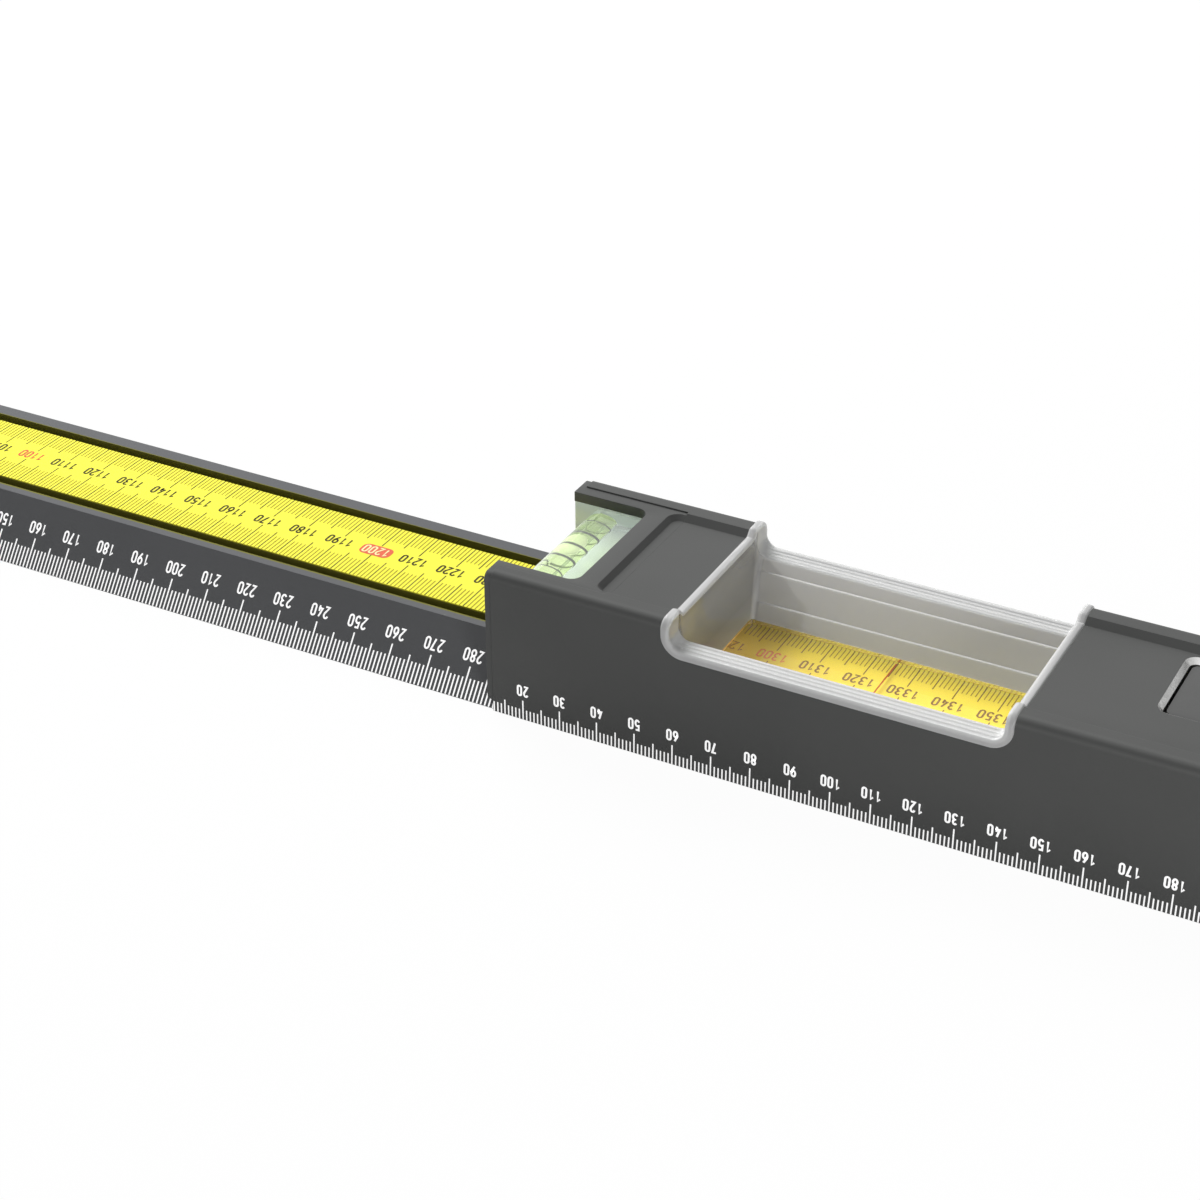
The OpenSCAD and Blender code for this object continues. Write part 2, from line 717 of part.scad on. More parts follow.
// Lever that fills the bevelled opening and reaches the rail with its foot
module brake_lever() {
    color(anthracite) difference() {
        union() {
            translate([0, 0, lever_z0]) linear_extrude(lever_t)
                round_rect([brake_hole_x0 + lever_gap, brake_hole_y0 + lever_gap],
                           [brake_hole_x1 - lever_gap, brake_hole_y1 - lever_gap], notch_r - bevel);
            rod_y(hub_y0, hub_y1, pivot_x, pivot_z, hub_r);
            span([pivot_x - hub_r, hub_y0 + 1, pivot_z], [pivot_x + hub_r, brake_hole_y1 - 1.5, lever_z0]);
            // Arm and foot
            span([foot_x0, brake_hole_y1 - 12, lever_z0 - 3.5],
                 [foot_x0 + foot_l, brake_hole_y1 - 1.5, lever_z0]);
            span([foot_x0, brake_hole_y1 - 12, lever_z0 - 5],
                 [foot_x0 + foot_l, foot_y1, lever_z0 - 2.2]);
            span([foot_x0, foot_y0, rail_h + pad_t], [foot_x0 + foot_l, foot_y1, lever_z0 - 2.2]);
        }
        rod_y(hub_y0 - cut, hub_y1 + cut, pivot_x, pivot_z, pin_d / 2 + pin_gap);
    }
}

// Rubber pad under the foot, on the land of the rail
module brake_pad() {
    color(black) span([foot_x0, foot_y0, rail_h], [foot_x0 + foot_l, foot_y1, rail_h + pad_t]);
}

// Compression spring under the pressed end of the lever
module brake_spring() {
    sides = 6;
    per_turn = 14;
    n = spring_turns * per_turn;
    r = spring_wire / 2;
    rise = spring_z1 - spring_z0 - spring_wire;
    pts = [for (i = [0 : n]) for (j = [0 : sides - 1])
        let (a = 360 * i / per_turn, b = 360 * j / sides, w = spring_r - r + r * cos(b))
            [w * cos(a), w * sin(a), r + rise * i / n + r * sin(b)]];
    faces = concat(
        [[for (j = [0 : sides - 1]) j]],
        [[for (j = [sides - 1 : -1 : 0]) n * sides + j]],
        [for (i = [0 : n - 1]) for (j = [0 : sides - 1]) let (k = (j + 1) % sides)
            [i * sides + j, (i + 1) * sides + j, (i + 1) * sides + k, i * sides + k]]);
    color(steel) translate([spring_x, spring_y, spring_z0]) polyhedron(points = pts, faces = faces);
}

// Outline of the rail's section, moved in by d
module rail_outline(d) {
    polygon([
        [slope_y(0, d * slope_k), 0], [slope_y(rail_h - d, d * slope_k), rail_h - d],
        [rail_far_y - d, rail_h - d], [rail_far_y - d, 0]]);
}

// Hollow section of the rail without its grooves, with an inward flange at the back
module rail_section() {
    difference() {
        rail_outline(0);
        polygon([
            [slope_y(-cut, rail_t * slope_k), -cut],
            [slope_y(rail_h - rail_t, rail_t * slope_k), rail_h - rail_t],
            [rail_far_y - rail_t, rail_h - rail_t], [rail_far_y - rail_t, rail_t],
            [rail_far_y - 6, rail_t], [rail_far_y - 6, -cut]]);
    }
}

// Undercut grooves of the rail, cut from a bar between x0 and x1
module rail_grooves(x0, x1) {
    for (y = groove_y) {
        span([x0 - cut, y - groove_w / 2, groove_floor_z + 1], [x1 + cut, y + groove_w / 2, rail_h + cut]);
        span([x0 - cut, y - groove_cavity_w / 2, groove_floor_z],
             [x1 + cut, y + groove_cavity_w / 2, groove_floor_z + groove_cavity_h]);
    }
}

module rail_profile() {
    color(anthracite * 1.1) difference() {
        union() {
            along_x(rail_x0, rail_x1) rail_section();
            // Walls round the grooves
            intersection() {
                along_x(rail_x0, rail_x1) rail_outline(0);
                for (y = groove_y)
                    span([rail_x0, y - groove_cavity_w / 2 - rail_t, groove_floor_z - rail_t],
                         [rail_x1, y + groove_cavity_w / 2 + rail_t, rail_h + cut]);
            }
        }
        rail_grooves(rail_x0, rail_x1);
        span([rail_x0 - cut, tape_y0, rail_h - tape_t], [rail_x1 + cut, tape_y1, rail_h + cut]);
    }
}

module measuring_tape() {
    color(yellow) span([rail_x0 + 0.5, tape_y0 + slack, rail_h - tape_t],
                       [rail_x1 - 0.5, tape_y1 - slack, rail_h]);
}

// Plug in the hollow of the rail, between its grooves
module rail_plug(x0, x1) {
    along_x(x0, x1)
        polygon([
            [groove_y[0] + groove_cavity_w / 2 + rail_t + slack, 0.4],
            [groove_y[0] + groove_cavity_w / 2 + rail_t + slack, rail_h - rail_t - slack],
            [groove_y[1] - groove_cavity_w / 2 - rail_t - slack, rail_h - rail_t - slack],
            [groove_y[1] - groove_cavity_w / 2 - rail_t - slack, 0.4]]);
}

// Tip of the rail, pushed in with a plug
module rail_tip() {
    color(black) union() {
        along_x(rail_x0 - tip_t, rail_x0) rail_outline(0);
        rail_plug(rail_x0, rail_x0 + 16);
    }
}

// Guide at the inner end of the rail
module rail_guide() {
    color(black) union() {
        rail_plug(rail_x1 - 22, rail_x1);
        difference() {
            along_x(rail_x1, rail_x1 + guide_t) rail_outline(0);
            rail_grooves(rail_x1, rail_x1 + guide_t);
        }
    }
}

translate([-mid_x, -mid_y, 0]) {
    body_profile();
    vial_housing();
    vial_backing();
    cross_vial_block();
    cross_vial_liquid();
    cross_vial_rings();
    window_tray();
    reading_line();
    glide_strips();
    main_vial_cradle();
    main_vial_block();
    main_vial_liquid();
    main_vial_rings();
    brake_bearing();
    brake_pin();
    brake_spring();
    brake_lever();
    brake_pad();
    end_cap();
    housing_screws();
    end_cap_screws();
    rail_profile();
    measuring_tape();
    rail_tip();
    rail_guide();
}
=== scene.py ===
"""Door frame level lying on its base: finishes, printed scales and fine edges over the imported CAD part."""
import json
import logging
import math
from abc import ABC, abstractmethod
from dataclasses import dataclass, field
from enum import Enum
from typing import Any, Callable, Optional, Sequence

import bmesh
import bpy
from bpy.types import Material, Node, NodeSocket, NodeTree, Object
from mathutils import Matrix, Vector

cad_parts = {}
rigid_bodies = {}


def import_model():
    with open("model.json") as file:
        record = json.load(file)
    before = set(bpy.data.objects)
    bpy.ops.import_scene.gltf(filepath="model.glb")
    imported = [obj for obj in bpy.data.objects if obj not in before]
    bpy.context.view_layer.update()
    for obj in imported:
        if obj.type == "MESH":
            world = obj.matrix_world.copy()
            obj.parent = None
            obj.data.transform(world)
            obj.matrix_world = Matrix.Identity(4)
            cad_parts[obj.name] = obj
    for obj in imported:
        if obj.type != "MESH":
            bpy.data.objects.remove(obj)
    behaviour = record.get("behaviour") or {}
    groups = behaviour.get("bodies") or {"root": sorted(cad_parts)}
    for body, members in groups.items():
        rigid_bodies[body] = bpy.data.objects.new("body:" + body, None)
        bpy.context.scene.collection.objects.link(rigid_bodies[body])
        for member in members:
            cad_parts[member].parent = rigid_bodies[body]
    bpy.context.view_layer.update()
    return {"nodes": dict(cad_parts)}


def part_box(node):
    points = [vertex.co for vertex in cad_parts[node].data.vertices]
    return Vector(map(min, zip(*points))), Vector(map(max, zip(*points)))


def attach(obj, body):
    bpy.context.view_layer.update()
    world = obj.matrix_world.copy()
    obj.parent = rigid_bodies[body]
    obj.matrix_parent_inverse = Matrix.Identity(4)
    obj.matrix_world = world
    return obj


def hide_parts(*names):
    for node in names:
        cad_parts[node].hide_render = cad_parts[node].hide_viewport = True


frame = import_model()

log = logging.getLogger("door_frame_level")
Triple = tuple[float, float, float]
Colour = Triple
Point2 = tuple[float, float]
Box2 = tuple[float, float, float, float]
Faces = list[tuple[int, ...]]
MM = 0.001
WELD = 2e-6
SEAM = 8e-6
SLIVER = 1e-6
FLAT = math.radians(0.6)
EDGE_RADIUS = 0.0002
X_AXIS, Y_AXIS, Z_AXIS = (Vector(axis) for axis in ((1, 0, 0), (0, 1, 0), (0, 0, 1)))


# ---------------------------------------------------------------- placing

@dataclass(frozen=True)
class Bench:
    """Millimetre bench: X is the reading of the body's scale, Y starts at the scale face and Z at the base."""

    profile_start: float = 11.7
    half_width: float = 26.4
    profile_low: float = field(default_factory=lambda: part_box("body_profile")[0].x)

    def at(self, x: float, y: float, z: float) -> Vector:
        """Turn bench millimetres into metres of the CAD frame.

        Args:
            x: Reading of the body's scale.
            y: Distance from the scale face.
            z: Height over the base.

        Returns:
            The point in metres.
        """
        return Vector((self.profile_low + (x - self.profile_start) * MM, (y - self.half_width) * MM, z * MM))


@dataclass(frozen=True)
class PrintPlane:
    """Flat face that carries a print: its lower left corner, the direction along it and the direction up it."""

    origin: Vector
    along: Vector
    up: Vector
    lift: float = 0.03

    def place(self, a: float, u: float) -> Vector:
        """Point of the print, a mm along the face and u mm up it."""
        normal = self.along.cross(self.up)
        return self.origin + (self.along * a + self.up * u + normal * self.lift) * MM

    def matrix(self, a: float, u: float, flip: bool = False) -> Matrix:
        """Matrix that lays a drawing in metres on the face.

        Args:
            a: Place of the drawing's origin along the face, in mm.
            u: Place of the drawing's origin up the face, in mm.
            flip: Whether the drawing is turned round by half a turn.

        Returns:
            The matrix of the drawing.
        """
        turn = -1.0 if flip else 1.0
        x_axis, y_axis = self.along * turn, self.up * turn
        z_axis = x_axis.cross(y_axis)
        columns = Matrix((x_axis, y_axis, z_axis)).transposed().to_4x4()
        return Matrix.Translation(self.place(a, u)) @ columns


# ---------------------------------------------------------------- meshes

@dataclass
class Draft:
    """Points and faces of a mesh that is being drawn."""

    points: list[Vector] = field(default_factory=list)
    faces: Faces = field(default_factory=list)

    def add(self, points: Sequence[Vector], faces: Faces) -> None:
        """Add points and the faces between them.

        Args:
            points: New points.
            faces: Faces by the index of the new points.
        """
        start = len(self.points)
        self.points.extend(points)
        self.faces.extend(tuple(start + i for i in f) for f in faces)

    def loft(self, rings: Sequence[Sequence[Vector]], closed: bool = False) -> None:
        """Skin a row of rings that have the same number of points.

        Args:
            rings: The rings, in order.
            closed: Whether the last ring meets the first again.
        """
        count = len(rings[0])
        rows = len(rings) if closed else len(rings) - 1
        faces = []
        for r in range(rows):
            a, b = r * count, ((r + 1) % len(rings)) * count
            faces.extend((a + i, a + (i + 1) % count, b + (i + 1) % count, b + i) for i in range(count))
        self.add([p for ring in rings for p in ring], faces)

    def tube(self, rings: Sequence[Sequence[Vector]]) -> None:
        """Skin a row of rings and close both ends.

        Args:
            rings: The rings, in order.
        """
        start, count = len(self.points), len(rings[0])
        self.loft(rings)
        last = len(self.points) - count
        self.faces += [tuple(reversed(range(start, start + count))), tuple(range(last, last + count))]

    def piece(self, name: str, material: Material) -> Object:
        """Make the object, with its place in the mesh.

        Args:
            name: Name of the piece.
            material: Finish of the piece.

        Returns:
            The object, linked to the scene.
        """
        mesh = bpy.data.meshes.new(name)
        mesh.from_pydata([tuple(p) for p in self.points], [], self.faces)
        mesh.materials.append(material)
        mesh.update()
        log.info("drew %s: %d faces", name, len(self.faces))
        return shown(name, mesh)


def shown(name: str, content: Any) -> Object:
    """Put a mesh, a lamp or a camera into the scene.

    Args:
        name: Name of the object.
        content: Its data.

    Returns:
        The object.
    """
    thing = bpy.data.objects.new(name, content)
    bpy.context.scene.collection.objects.link(thing)
    return thing


def settled(thing: Object) -> Object:
    """Turn an object with modifiers into a plain mesh.

    Args:
        thing: The object.

    Returns:
        The same object without modifiers.
    """
    bpy.context.view_layer.update()
    graph = bpy.context.evaluated_depsgraph_get()
    mesh = bpy.data.meshes.new_from_object(thing.evaluated_get(graph))
    mesh.name = thing.name
    thing.modifiers.clear()
    thing.data = mesh
    return thing


def face_out(thing: Object) -> Object:
    """Turn the faces of a closed piece outwards.

    Args:
        thing: The piece.

    Returns:
        The same piece.
    """
    shape = bmesh.new()
    shape.from_mesh(thing.data)
    bmesh.ops.recalc_face_normals(shape, faces=shape.faces)
    shape.to_mesh(thing.data)
    shape.free()
    return thing


def shaded(thing: Object, angle: float) -> Object:
    """Shade a piece smooth, apart from edges that bend by more than an angle.

    Args:
        thing: The piece.
        angle: The angle in degrees.

    Returns:
        The same piece.
    """
    thing.data.shade_smooth()
    thing.data.set_sharp_from_angle(angle=math.radians(angle))
    return thing


def bow(cx: float, cy: float, rx: float, ry: float, a0: float, a1: float, steps: int) -> list[Point2]:
    """Points of an elliptic arc, angles in degrees."""
    angles = [math.radians(a0 + (a1 - a0) * i / steps) for i in range(steps + 1)]
    return [(cx + rx * math.cos(a), cy + ry * math.sin(a)) for a in angles]


def rounded(box: Box2, corner: float, radius: float, steps: int) -> list[Point2]:
    """Outline of a rectangle with rounded corners, counterclockwise.

    Args:
        box: Lowest X and Y and highest X and Y of the rectangle.
        corner: Distance of a corner's middle from the sides.
        radius: Radius of the corners.
        steps: Steps of each corner.

    Returns:
        The points of the outline.
    """
    x0, y0, x1, y1 = box[0] + corner, box[1] + corner, box[2] - corner, box[3] - corner
    middles = ((x1, y1), (x0, y1), (x0, y0), (x1, y0))
    return [p for k, (cx, cy) in enumerate(middles)
            for p in bow(cx, cy, radius, radius, 90 * k, 90 * k + 90, steps)]


def mitres(line: Sequence[Point2], closed: bool = False, least: float = 0.0) -> list[Point2]:
    """Directions in which the points of a line move when it is offset to its left by one.

    Args:
        line: Points of the line.
        closed: Whether its last point meets the first.
        least: Limit of the mitre at sharp bends.

    Returns:
        One direction for each point.
    """
    count = len(line)
    found = []
    for i in range(count):
        normals = []
        for a, b in ((i - 1, i), (i, i + 1)):
            if closed or (a >= 0 and b < count):
                dx, dy = (line[b % count][j] - line[a][j] for j in (0, 1))
                size = math.hypot(dx, dy) or 1.0
                normals.append((-dy / size, dx / size))
        nx, ny = (sum(n[j] for n in normals) / len(normals) for j in (0, 1))
        size = max(least, nx * nx + ny * ny)
        found.append((nx / size, ny / size))
    return found


def eased_copy(node: str, width: float, material: Material, angle: float = 30.0, segments: int = 3,
               core: Optional[Object] = None, where: Optional[Callable[[Vector], bool]] = None,
               shift: Optional[Callable[[Vector], float]] = None) -> Object:
    """Copy a CAD node, merge its faces and round its edges.

    Args:
        node: Name of the CAD node.
        width: Width of the rounding in mm.
        material: Finish of the copy.
        angle: Smallest bend in degrees that is rounded.
        segments: Faces across a rounded edge.
        core: Piece that is joined to the copy before.
        where: Test of an edge's middle. Only edges that pass it are rounded.
        shift: Distance along X by which a corner moves first.

    Returns:
        The rounded copy, which replaces the node.
    """
    mesh = frame["nodes"][node].data.copy()
    mesh.name = node + "_eased"
    shape = bmesh.new()
    shape.from_mesh(mesh)
    for v in shape.verts:
        v.co.x += shift(v.co) if shift else 0.0
    bmesh.ops.remove_doubles(shape, verts=shape.verts, dist=WELD)
    bmesh.ops.dissolve_degenerate(shape, dist=SLIVER, edges=shape.edges)
    bmesh.ops.dissolve_limit(shape, angle_limit=FLAT, verts=shape.verts, edges=shape.edges)
    bmesh.ops.recalc_face_normals(shape, faces=shape.faces)
    if where:
        weight = shape.edges.layers.float.new("bevel_weight_edge")
        for edge in shape.edges:
            bend = edge.calc_face_angle(0.0) if len(edge.link_faces) == 2 else 0.0
            edge[weight] = float(bend > math.radians(angle) and where((edge.verts[0].co + edge.verts[1].co) / 2))
    shape.to_mesh(mesh)
    shape.free()
    mesh.materials.clear()
    mesh.materials.append(material)
    thing = shown(node + "_eased", mesh)
    if "custom_normal" in mesh.attributes:
        mesh.attributes.remove(mesh.attributes["custom_normal"])
    if core:
        join = thing.modifiers.new("join", "BOOLEAN")
        join.operation, join.solver, join.object = "UNION", "EXACT", core
    ease = thing.modifiers.new("ease", "BEVEL")
    ease.width = width * MM
    ease.segments = segments
    ease.limit_method = "WEIGHT" if where else "ANGLE"
    ease.angle_limit = math.radians(angle)
    ease.use_clamp_overlap = True
    ease.miter_outer = "MITER_ARC"
    shaded(settled(thing), 32)
    body = frame["nodes"][node].parent.name.split(":")[1]
    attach(thing, body)
    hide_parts(node)
    log.info("rounded %s: %d faces", node, len(thing.data.polygons))
    return thing


# ---------------------------------------------------------------- finishes

class Board:
    """Node board of a material, a world or a node group."""

    def __init__(self, owner: Any) -> None:
        """Start an empty board on its owner.

        Args:
            owner: The material, the world or the node group.
        """
        self.owner = owner
        self.tree = owner
        if not isinstance(owner, NodeTree):
            owner.use_nodes = True
            self.tree = owner.node_tree
        self.tree.nodes.clear()

    def add(self, kind: str, inputs: Optional[dict[Any, Any]] = None, **settings: Any) -> Node:
        """Add a node.

        Args:
            kind: Kind of the node.
            inputs: Values or sockets of its inputs, by name or number.
            settings: Settings of the node itself.

        Returns:
            The node.
        """
        made = self.tree.nodes.new(kind)
        for key, value in settings.items():
            setattr(made, key, value)
        for key, value in (inputs or {}).items():
            if isinstance(value, NodeSocket):
                self.tree.links.new(value, made.inputs[key])
            else:
                made.inputs[key].default_value = value
        return made

    def node(self, kind: str, inputs: Optional[dict[Any, Any]] = None, **settings: Any) -> Node:
        """Add a shader node by its kind, without the prefix."""
        return self.add("ShaderNode" + kind, inputs, **settings)

    def spot(self) -> NodeSocket:
        """Object coordinates, in metres."""
        return self.node("TexCoord").outputs["Object"]

    def along(self, axis: int) -> NodeSocket:
        """Object coordinate along one axis, in metres."""
        return self.node("SeparateXYZ", {0: self.spot()}).outputs[axis]

    def grain(self, scale: float, detail: float = 2.0, stretch: Optional[Triple] = None) -> NodeSocket:
        """Noise in object coordinates.

        Args:
            scale: Grains per metre.
            detail: Octaves of the noise.
            stretch: Factors of the coordinates along X, Y and Z.

        Returns:
            The noise's value, from 0 to 1.
        """
        place = self.spot()
        if stretch:
            place = self.node("Mapping", {"Vector": place, "Scale": stretch}).outputs[0]
        return self.node("TexNoise", {"Vector": place, "Scale": scale, "Detail": detail}).outputs[0]

    def spread(self, value: NodeSocket, low: float, high: float, a: float = 0.3, b: float = 0.7) -> NodeSocket:
        """Map a value from a..b to low..high, clamped."""
        return self.node("MapRange", {0: value, 1: a, 2: b, 3: low, 4: high}).outputs[0]

    def math(self, kind: str, a: Any, b: Any = 0.0) -> NodeSocket:
        """Arithmetic of two values."""
        return self.node("Math", {0: a, 1: b}, operation=kind).outputs[0]

    def away(self, value: NodeSocket, centre: float) -> NodeSocket:
        """Distance of a value from a centre."""
        return self.math("ABSOLUTE", self.math("SUBTRACT", value, centre))

    def between(self, value: NodeSocket, rise: Point2, fall: Point2) -> NodeSocket:
        """1 where a value is past its rise and before its fall, otherwise 0."""
        return self.math("MULTIPLY", self.spread(value, 0.0, 1.0, *rise), self.spread(value, 1.0, 0.0, *fall))

    def mix(self, share: Any, a: Any, b: Any, kind: str = "MIX") -> NodeSocket:
        """Mix two colours, each a socket or an RGB triple."""
        a, b = (c if isinstance(c, NodeSocket) else (*c, 1.0) for c in (a, b))
        return self.node("Mix", {0: share, 6: a, 7: b}, data_type="RGBA", blend_type=kind).outputs[2]

    def eased(self) -> NodeSocket:
        """Normal that is rounded at sharp edges."""
        return self.node("Bevel", {"Radius": EDGE_RADIUS}, samples=4).outputs[0]

    def surface(self, height: NodeSocket, strength: float, depth: float, inputs: dict[str, Any],
                normal: Optional[NodeSocket] = None) -> Node:
        """Add a principled shader with a fine relief.

        Args:
            height: Height of the relief, from 0 to 1.
            strength: Strength of the relief.
            depth: Depth of the relief in metres.
            inputs: Other inputs of the shader.
            normal: Normal under the relief.

        Returns:
            The shader's node.
        """
        relief = {"Strength": strength, "Distance": depth, "Height": height}
        if normal is not None:
            relief["Normal"] = normal
        return self.node("BsdfPrincipled", {**inputs, "Normal": self.node("Bump", relief).outputs[0]})

    def finish(self, shader: Node) -> Material:
        """Connect the shader to the output and return the material."""
        self.node("OutputMaterial", {"Surface": shader.outputs[0]})
        return self.owner


class Finish(ABC):
    """Finish that builds its own procedural material."""

    name: str

    @abstractmethod
    def shader(self, b: Board) -> Node:
        """Build the shader on the material's board and return its node."""

    def material(self) -> Material:
        """Build the material."""
        b = Board(bpy.data.materials.new(self.name))
        return b.finish(self.shader(b))


@dataclass(frozen=True)
class PowderCoat(Finish):
    """Baked anthracite coat on drawn aluminium, with fine texture and edges painted paler as a painted highlight.

    The painted tape bounce is the colour of the rail's bed beside the tape, placed by the distance from the bed's
    middle:
    painted shade tinted by yellow light bounced off the tape, and on the near line a painted reflection of the tape.
    Each strip of the corner is a middle, a half width and a change of brightness over Y + Z, painting highlights
    (brighter) and a dark reflection (darker) along the rounded top edge. The edge highlight range is the range of the
    cosine between rounded and true normal over which an edge is painted paler, a painted highlight.
    """

    name: str
    colour: Colour
    edge: Colour
    roughness: float = 0.52
    texture: float = 0.22
    specular: float = 0.16
    groove: Optional[Colour] = None
    corner: Sequence[Triple] = ()
    grain_size: float = 3200.0
    drawn_size: float = 420.0
    cloud_size: float = 26.0
    wear: Point2 = (0.86, 0.995)
    depth: float = 0.00006
    bed_middle: float = 0.0042
    bed: tuple[Point2, Point2] = ((0.01265, 0.01275), (0.0161, 0.0163))
    line: tuple[Point2, Point2] = ((0.01612, 0.01618), (0.01638, 0.01646))

    def shader(self, b: Board) -> Node:
        """Build the shader.

        Args:
            b: Board of the material.

        Returns:
            The shader's node.
        """
        fine = b.grain(self.grain_size)
        drawn = b.grain(self.drawn_size, 2.0, (0.06, 1.0, 1.0))
        soft = b.eased()
        true = b.node("NewGeometry").outputs["True Normal"]
        bend = b.node("VectorMath", {0: soft, 1: true}, operation="DOT_PRODUCT").outputs["Value"]
        # Painted highlight: edges where the rounded normal bends away from the true one are painted paler, in
        # streaks.
        edge = b.spread(bend, 1.0, 0.0, *self.wear)
        colour = b.mix(b.spread(b.grain(self.cloud_size), 0.0, 0.12), self.colour, self.edge)
        colour = b.mix(b.math("MULTIPLY", edge, b.spread(drawn, 0.1, 0.45)), colour, self.edge)
        y, z = b.along(1), b.along(2)
        # Painted shade tinted by yellow light from the tape on the rail's bed, and a painted reflection of the tape
        # on the near line.
        if self.groove:
            away = b.away(y, self.bed_middle)
            near = b.math("MULTIPLY", b.between(away, *self.line), b.math("LESS_THAN", y, 0.0))
            for share in (b.between(away, *self.bed), near):
                colour = b.mix(share, colour, self.groove)
        # Painted highlights and a painted dark reflection, in strips along the rounded top edge by Y + Z.
        for centre, half, change in self.corner:
            away = b.away(b.math("ADD", y, z), centre)
            colour = b.mix(1.0, colour, b.spread(away, 1.0 + change, 1.0, 0.0, half), "MULTIPLY")
        rough = b.spread(fine, self.roughness - 0.07, self.roughness + 0.07)
        return b.surface(fine, self.texture, self.depth, {"Base Color": colour, "Roughness": rough,
                                                          "Specular IOR Level": self.specular}, soft)


@dataclass(frozen=True)
class MouldedPlastic(Finish):
    """Injection moulded plastic with a fine eroded grain."""

    name: str
    colour: Colour
    roughness: float = 0.45
    grain_size: float = 2400.0
    texture: float = 0.15
    specular: float = 0.4
    cloud_size: float = 60.0
    depth: float = 0.00004

    def shader(self, b: Board) -> Node:
        """Build the shader.

        Args:
            b: Board of the material.

        Returns:
            The shader's node.
        """
        fine = b.grain(self.grain_size, 3.0)
        pale = tuple(min(1.0, c * 1.18 + 0.004) for c in self.colour)
        colour = b.mix(b.spread(b.grain(self.cloud_size), 0.0, 0.6), self.colour, pale)
        rough = b.spread(fine, self.roughness - 0.06, self.roughness + 0.08)
        return b.surface(fine, self.texture, self.depth, {"Base Color": colour, "Roughness": rough,
                                                          "Specular IOR Level": self.specular}, b.eased())


@dataclass(frozen=True)
class BareMetal(Finish):
    """Cut or plated metal with fine lines from the tool. The painted side shade darkens the faces that look along X:
    painted shade, in streaks.
    """

    name: str
    colour: Colour = (0.86, 0.86, 0.85)
    roughness: float = 0.3
    lines: Triple = (0.05, 1.0, 1.0)
    aside: float = 0.0
    grain_size: float = 3000.0
    cloud_size: float = 180.0
    texture: float = 0.12
    depth: float = 0.00003

    def shader(self, b: Board) -> Node:
        """Build the shader.

        Args:
            b: Board of the material.

        Returns:
            The shader's node.
        """
        drawn = b.grain(self.grain_size, 2.0, self.lines)
        dull = tuple(c * 0.8 for c in self.colour)
        colour = b.mix(b.spread(b.grain(self.cloud_size, 1.0), 0.0, 0.5), self.colour, dull)
        # Painted shade: faces that look along X are darkened.
        facing = b.node("SeparateXYZ", {0: b.node("NewGeometry").outputs["True Normal"]}).outputs[0]
        streaks = b.spread(drawn, 0.8, 1.15, 0.35, 0.65)
        aside = b.math("MULTIPLY", b.math("MULTIPLY", b.math("ABSOLUTE", facing), self.aside), streaks)
        colour = b.mix(1.0, colour, b.math("SUBTRACT", 1.0, aside), "MULTIPLY")
        rough = b.spread(drawn, self.roughness - 0.08, self.roughness + 0.1)
        return b.surface(drawn, self.texture, self.depth, {"Base Color": colour, "Roughness": rough,
                                                           "Metallic": 1.0})


